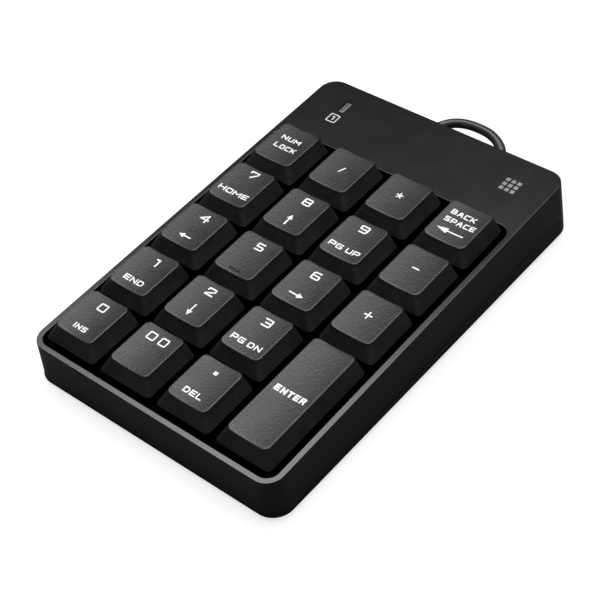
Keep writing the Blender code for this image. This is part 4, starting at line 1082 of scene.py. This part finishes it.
def make_dome_web():
    """The rubber sheet, with round holes for the domes and the screw bosses."""
    low, high = node_box("dome_sheet")
    half_x, half_y = (high.x - low.x) / 2, (high.y - low.y) / 2
    outline = rounded_rectangle(half_x, half_y, 2.0, 6, node_centre("dome_sheet"))
    holes = [post(place, DOME_BASE_RADIUS, low.z - 1, low.z + 1) for place in KEY_PLACES.values()]
    bosses = [place for place in BOSSES if place[1] < WELL_REAR]
    holes += [post(place, BOSS_RADIUS + 2 * GAP, low.z - 1, low.z + 1) for place in bosses]
    web = solid("web", prism(outline, low.z, low.z + SHEET_THICK))
    mesh = combined("dome_web", web, ("DIFFERENCE", solid("web_holes", *holes)))
    add_piece("dome_web", mesh, ["silicone_grey"], replaces=["dome_sheet"])


def make_domes():
    """A dome under each stem, in its resting shape."""
    low, high = node_box("dome_sheet")
    top = high.z - low.z
    base, crown = DOME_BASE_RADIUS, DOME_TOP_RADIUS
    profile = (
        (base, 0.0), (base, SHEET_THICK), (base - 0.5, SHEET_THICK + 0.25), (crown + 0.3, top - 0.35),
        (crown, top - 0.08), (crown - 0.3, top), (0.3, top),
        (0.3, top - 0.9), (crown - 0.9, top - 0.9), (base - 1.2, SHEET_THICK), (base - 1.0, 0.0),
    )
    for node, (x, y) in KEY_PLACES.items():
        name = node.replace("key_", "dome_")
        mesh = solid(name, lathe(profile, 32, (x, y, low.z)), wrap=True)
        piece = add_piece(name, mesh, ["silicone_grey"], sharp=40)
        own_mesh(piece)


def tube(points, radius, steps):
    """A round tube through points. Each ring turns with the path and doesn't twist."""
    heading = (points[1] - points[0]).normalized()
    side = heading.orthogonal().normalized()
    rings = []
    for k, point in enumerate(points):
        before = points[max(k - 1, 0)]
        after = points[min(k + 1, len(points) - 1)]
        turned = (after - before).normalized()
        side = (heading.rotation_difference(turned) @ side).normalized()
        heading = turned
        other = heading.cross(side)
        rings.append([tuple(point + side * x + other * y) for x, y in circle(radius, steps)])
    return rings


def bent_path(corners, cut, steps):
    """A polyline with each corner replaced by a curve."""
    points = [Vector(corners[0])]
    for before, corner, after in zip(corners, corners[1:], corners[2:]):
        corner = Vector(corner)
        start = corner + (Vector(before) - corner).normalized() * cut
        end = corner + (Vector(after) - corner).normalized() * cut
        points += bend(start, corner, end, steps)
    points.append(Vector(corners[-1]))
    return points


def make_wire():
    """The double-height key's stabiliser: two tips on the hinge axis, two arms and a long bar."""
    (hinge_x, hinge_z), (bar_x, bar_z) = WIRE_HINGE, WIRE_BAR
    front, rear = WIRE_LOW.y, WIRE_HIGH.y
    corners = [(hinge_x, front, hinge_z), (hinge_x, front + WIRE_TIP, hinge_z)]
    corners += [(bar_x, front + WIRE_TIP, bar_z), (bar_x, rear - WIRE_TIP, bar_z)]
    corners += [(hinge_x, rear - WIRE_TIP, hinge_z), (hinge_x, rear, hinge_z)]
    mesh = solid("stabilizer_wire", tube(bent_path(corners, WIRE_BEND, 6), WIRE_RADIUS, 20))
    add_piece("stabilizer_wire", mesh, ["steel_plated"], "stabilizer", replaces=["enter_stabilizer_wire"],
              sharp=50)


# ---- screws and feet


def screw_mesh():
    """A pan-head screw with a tapered cross recess, head down, at the deck frame's origin."""
    low = SCREW_HEAD_TOP_Z - 0.8
    radius = SCREW_HEAD_RADIUS
    profile = [(0.9, -6.6), (1.0, -6.9), (1.0, SCREW_HEAD_TOP_Z)]
    profile += [(radius, SCREW_HEAD_TOP_Z), (radius, low + 0.35), (radius - 0.15, low + 0.15)]
    profile += [(radius - 0.5, low + 0.03), (radius - 1.2, low)]
    arm, half = 1.35, 0.3
    cross = [
        (arm, -half), (arm, half), (half, half), (half, arm), (-half, arm), (-half, half),
        (-arm, half), (-arm, -half), (-half, -half), (-half, -arm), (half, -arm), (half, -half),
    ]
    narrow = [(x * 0.62, y * 0.62) for x, y in cross]
    recess = solid("recess", [ring(cross, low - 0.5), ring(cross, low), ring(narrow, low + 0.6)])
    return combined("screw", solid("screw_body", lathe(profile, 32, (0, 0, 0))), ("DIFFERENCE", recess))


def make_screws():
    plain = screw_mesh()
    for node, (x, y) in zip(SCREW_NODES, BOSSES):
        mesh = plain.copy()
        mesh.transform(Matrix.Translation((x, y, 0)))
        add_piece(node.replace("case_", ""), mesh, ["steel_plated"], replaces=[node])


def make_feet():
    """Rubber discs with a rounded edge and a shallow ring groove."""
    for node in FOOT_NODES:
        low, high = node_box(node, ROW)
        radius = (high.x - low.x) / 2
        profile = [(radius, high.z), (radius, low.z + 0.3), (radius - 0.1, low.z + 0.1)]
        profile += [(radius - 0.35, low.z), (radius - 1.1, low.z), (radius - 1.25, low.z + 0.15)]
        profile += [(radius - 1.55, low.z + 0.15), (radius - 1.7, low.z), (0.4, low.z)]
        mesh = solid(node, lathe(profile, 64, (*node_centre(node, ROW), 0)))
        add_piece("pad_" + node, mesh, ["rubber_black"], place=ROW, replaces=[node], sharp=40)


# ---- cable and plug

# The cable's loop behind the case, in the deck frame: x, distance behind the deck's rear edge, z.
CABLE_LOOP = (
    (CABLE_X, -6.0, -9.6),
    (CABLE_X, -2.6, CABLE_Z),
    (CABLE_X, 4.6, CABLE_Z),
    (12.4, 8.9, -9.6),
    (7.0, 11.9, -9.2),
    (0.0, 12.6, -9.5),
    (-5.2, 11.6, -10.2),
    (-8.8, 9.0, -11.2),
)
CABLE_APPROACH = (4.2, 1.2, 0.3)  # the loop's last place, from the end of the plug's grip
CABLE_IN_GRIP = (-0.5, 0, 0)
CABLE_STEPS = 12  # points from one place of the loop to the next


def cable_points():
    """A smooth curve through the loop and into the plug's grip, in the row frame."""
    to_row = ROW.inverted() @ DECK
    stations = [to_row @ Vector((x, CASE_HALF_Y + behind, z)) for x, behind, z in CABLE_LOOP]
    grip_low, grip_high = node_box("usb_plug_grip", ROW)
    middle = (grip_low + grip_high) / 2
    grip_end = Vector((grip_high.x, middle.y, middle.z))
    stations += [grip_end + Vector(CABLE_APPROACH), grip_end + Vector(CABLE_IN_GRIP)]
    points = [stations[0]]
    padded = [stations[0], *stations, stations[-1]]
    for before, start, end, after in zip(padded, stations, stations[1:], padded[3:]):
        leave = (end - before) / 2
        arrive = (after - start) / 2
        for step in range(1, CABLE_STEPS + 1):
            t = step / CABLE_STEPS
            points.append(
                start * (2 * t**3 - 3 * t**2 + 1)
                + leave * (t**3 - 2 * t**2 + t)
                + end * (3 * t**2 - 2 * t**3)
                + arrive * (t**3 - t**2)
            )
    return points


def make_cable():
    mesh = solid("cable_jacket", tube(cable_points(), CABLE_RADIUS, 28))
    add_piece("cable_jacket", mesh, ["cable_vinyl"], place=ROW, replaces=["usb_cable"], sharp=60)


def make_boot():
    """The strain relief: a flange inside the wall, a neck through it and a ribbed boot outside."""
    wall_out = CASE_HALF_Y - CABLE_Z * FLARE
    wall_in = wall_out - WALL
    neck = NOTCH_RADIUS - 0.06
    bore = CABLE_RADIUS + 0.05
    profile = [(bore, BOOT_LOW.y), (neck + 1.1, BOOT_LOW.y), (neck + 1.1, wall_in - 0.1)]
    profile += [(neck, wall_in - 0.1), (neck, wall_out + 0.2), (neck - 0.12, wall_out + 0.36)]
    ribs = 3
    start = wall_out + 0.4
    pitch = (BOOT_HIGH.y - start) / ribs
    for number in range(ribs):
        radius = neck - 0.15 - 0.3 * number
        y = start + number * pitch
        profile += [(radius - 0.35, y), (radius - 0.35, y + pitch * 0.3), (radius, y + pitch * 0.42)]
        profile += [(radius, y + pitch * 0.86), (radius - 0.15, y + pitch * 0.98)]
    profile.append((bore, BOOT_HIGH.y))
    mesh = solid("cable_boot", lathe(profile, 48, (CABLE_X, 0, CABLE_Z), "Y"), wrap=True)
    add_piece("cable_boot", mesh, ["rubber_black"], replaces=["strain_relief"], sharp=40)


def add_plug_part(name, stations, centre, look, replaces=()):
    """A body along x: stations holds (x, half y, half z, corner radius)."""
    rings = []
    for x, half_y, half_z, radius in stations:
        outline = rounded_rectangle(half_y, half_z, radius, 8, (centre.y, centre.z))
        rings.append([(x, y, z) for y, z in outline])
    add_piece(name, solid(name, rings), [look], place=ROW, replaces=replaces, sharp=40)


def make_plug_grip():
    """The moulded grip, with a shoulder at the cable's end and four grooves round its middle."""
    low, high = node_box("usb_plug_grip", ROW)
    half_y, half_z = (high.y - low.y) / 2, (high.z - low.z) / 2
    sections = [(high.x, 1.9, 2.6), (high.x - 0.5, 2.1, 3.0), (high.x - 3.0, half_y - 0.1, half_z - 0.35)]
    sections.append((high.x - 5.0, half_y, half_z))
    for number in range(4):
        x = high.x - 6.0 - number * 1.3
        sections += [(x, half_y, half_z), (x - 0.25, half_y - 0.3, half_z - 0.25)]
        sections += [(x - 0.6, half_y - 0.3, half_z - 0.25), (x - 0.85, half_y, half_z)]
    sections += [(low.x + 0.6, half_y, half_z), (low.x + 0.2, half_y - 0.15, half_z - 0.15)]
    sections.append((low.x, half_y - 0.5, half_z - 0.5))
    stations = [(x, y, z, min(1.9, y - 0.1)) for x, y, z in sections]
    add_plug_part("plug_grip", stations, (low + high) / 2, "cable_vinyl", ["usb_plug_grip"])


def make_plug_shell():
    """The hollow metal shell, and the tongue inside it."""
    low, high = node_box("usb_plug_shell", ROW)
    centre = (low + high) / 2
    half_y, half_z = (high.y - low.y) / 2, (high.z - low.z) / 2
    wall = 0.28
    back = high.x + 0.3
    mouth = low.x
    sections = [(back, 0), (mouth + 0.12, 0), (mouth, 0.1), (mouth, wall - 0.06), (mouth + 0.1, wall),
                (back - 1.2, wall)]
    stations = [(x, half_y - inset, half_z - inset, half_y - inset - 0.02) for x, inset in sections]
    add_plug_part("plug_shell", stations, centre, "steel_plated", ["usb_plug_shell"])

    tongue_y, tongue_z, corner = 0.38, half_z - 1.0, 0.12
    tongue = [(x, tongue_y, tongue_z, corner) for x in (back - 1.4, mouth + 0.9)]
    tongue.append((mouth + 0.7, tongue_y - corner, tongue_z - corner, corner))
    add_plug_part("plug_tongue", tongue, centre, "chip_epoxy")


# ---- carried-over CAD nodes

NODE_LOOKS = {
    "upper_membrane": "foil_clear",
    "lower_membrane": "foil_clear",
    "spacer_membrane": "foil_spacer",
    "backing_plate": "sheet_steel",
    "controller_board": "board_mask",
    "controller_chip": "chip_epoxy",
    "cable_header": "nylon_white",
    "membrane_clamp_bar": "sheet_steel",
    "clamp_screw_1": "steel_plated",
    "clamp_screw_2": "steel_plated",
    "status_led": "led_green",
}


def dress_cad_nodes():
    for node, look in NODE_LOOKS.items():
        for slot in frame["nodes"][node].material_slots:
            slot.material = MATERIALS[look]


# ---- stage

CAMERA_PLACE = (194.6, -190.06, 271.65)
CAMERA_AZIMUTH = math.radians(46.31)
CAMERA_ELEVATION = math.radians(46.54)
CAMERA_ROLL = math.radians(-9.36)
CAMERA_LENS = 89.71
SENSOR = 36.0

# The stage's sizes are in metres, and the softbox's power is in watts.
SOFTBOX_AZIMUTH = math.radians(30)
SOFTBOX_ELEVATION = math.radians(78)
SOFTBOX_DISTANCE = 1.4
SOFTBOX_SIZE = (1.6, 1.3)
SOFTBOX_POWER = 42.0
FLOOR_HALF = 6.0
FLOOR_DROP = 0.00002
FLOOR_SHADE = 0.25  # share of the floor's seen colour that takes shadows
UNSEEN_FLOOR = 0.07
UNSEEN_WORLD = 0.075


def make_camera():
    """A camera that looks down on the deck from the front right corner."""
    data = bpy.data.cameras.new("camera")
    data.lens = CAMERA_LENS
    data.sensor_width = SENSOR
    data.clip_start = 0.01
    data.clip_end = 20.0
    camera = new_object("camera", data)
    turn = Matrix.Rotation(CAMERA_AZIMUTH, 4, "Z")
    turn = turn @ Matrix.Rotation(math.pi / 2 - CAMERA_ELEVATION, 4, "X")
    turn = turn @ Matrix.Rotation(CAMERA_ROLL, 4, "Z")
    place = Vector(CAMERA_PLACE) * MM
    camera.matrix_world = DECK_FRAME @ Matrix.Translation(place) @ turn
    bpy.context.scene.camera = camera


def shade_stage(owner, kind, seen, unseen):
    """Fills a node tree. seen(tree) is for the camera, unseen(tree) for the object and its reflections."""
    owner.use_nodes = True
    tree = owner.node_tree
    tree.nodes.clear()
    output = tree.nodes.new("ShaderNodeOutput" + kind)
    parts = {2: seen(tree), 1: unseen(tree), 0: add(tree, "LightPath", output="Is Camera Ray")}
    connect(tree, output, {"Surface": add(tree, "MixShader", parts)})


def diffuse(tree, value):
    return add(tree, "BsdfDiffuse", {"Color": grey(value)})


def lit_paper(tree):
    """White that takes only a part of the shadows that fall on it."""
    glow = add(tree, "Emission", {"Color": grey(1), "Strength": 1.0})
    return add(tree, "MixShader", {0: FLOOR_SHADE, 1: glow, 2: diffuse(tree, 0.95)})


def sky(tree, strength):
    return add(tree, "Background", {"Color": grey(1), "Strength": strength})


def make_floor():
    bm = bmesh.new()
    bmesh.ops.create_grid(bm, x_segments=1, y_segments=1, size=FLOOR_HALF)
    floor = new_object("floor", mesh_from("floor", bm))
    floor.location.z = node_box("foot_front_left", ROW)[0].z * MM - FLOOR_DROP
    paper = bpy.data.materials.new("paper")
    shade_stage(paper, "Material", lit_paper, lambda tree: diffuse(tree, UNSEEN_FLOOR))
    floor.data.materials.append(paper)


def make_world():
    world = bpy.data.worlds.new("studio")
    bpy.context.scene.world = world
    shade_stage(world, "World", lambda tree: sky(tree, 1.0), lambda tree: sky(tree, UNSEEN_WORLD))


def make_softbox():
    light = bpy.data.lights.new("softbox", "AREA")
    light.shape = "RECTANGLE"
    light.size, light.size_y = SOFTBOX_SIZE
    light.energy = SOFTBOX_POWER
    lamp = new_object("softbox", light)
    turn = Matrix.Rotation(SOFTBOX_AZIMUTH, 4, "Z")
    turn = turn @ Matrix.Rotation(-math.pi / 2 + SOFTBOX_ELEVATION, 4, "X")
    lamp.matrix_world = turn @ Matrix.Translation((0, 0, SOFTBOX_DISTANCE))


bpy.context.scene.view_settings.view_transform = "Standard"
make_top_shell()
make_bottom_shell()
make_caps()
make_homing_bar()
make_wire_hooks()
make_legends()
make_deck_prints()
make_lens()
make_dome_web()
make_domes()
make_wire()
make_screws()
make_feet()
make_cable()
make_boot()
make_plug_grip()
make_plug_shell()
dress_cad_nodes()
make_floor()
make_world()
make_softbox()
make_camera()

bpy.context.view_layer.update()
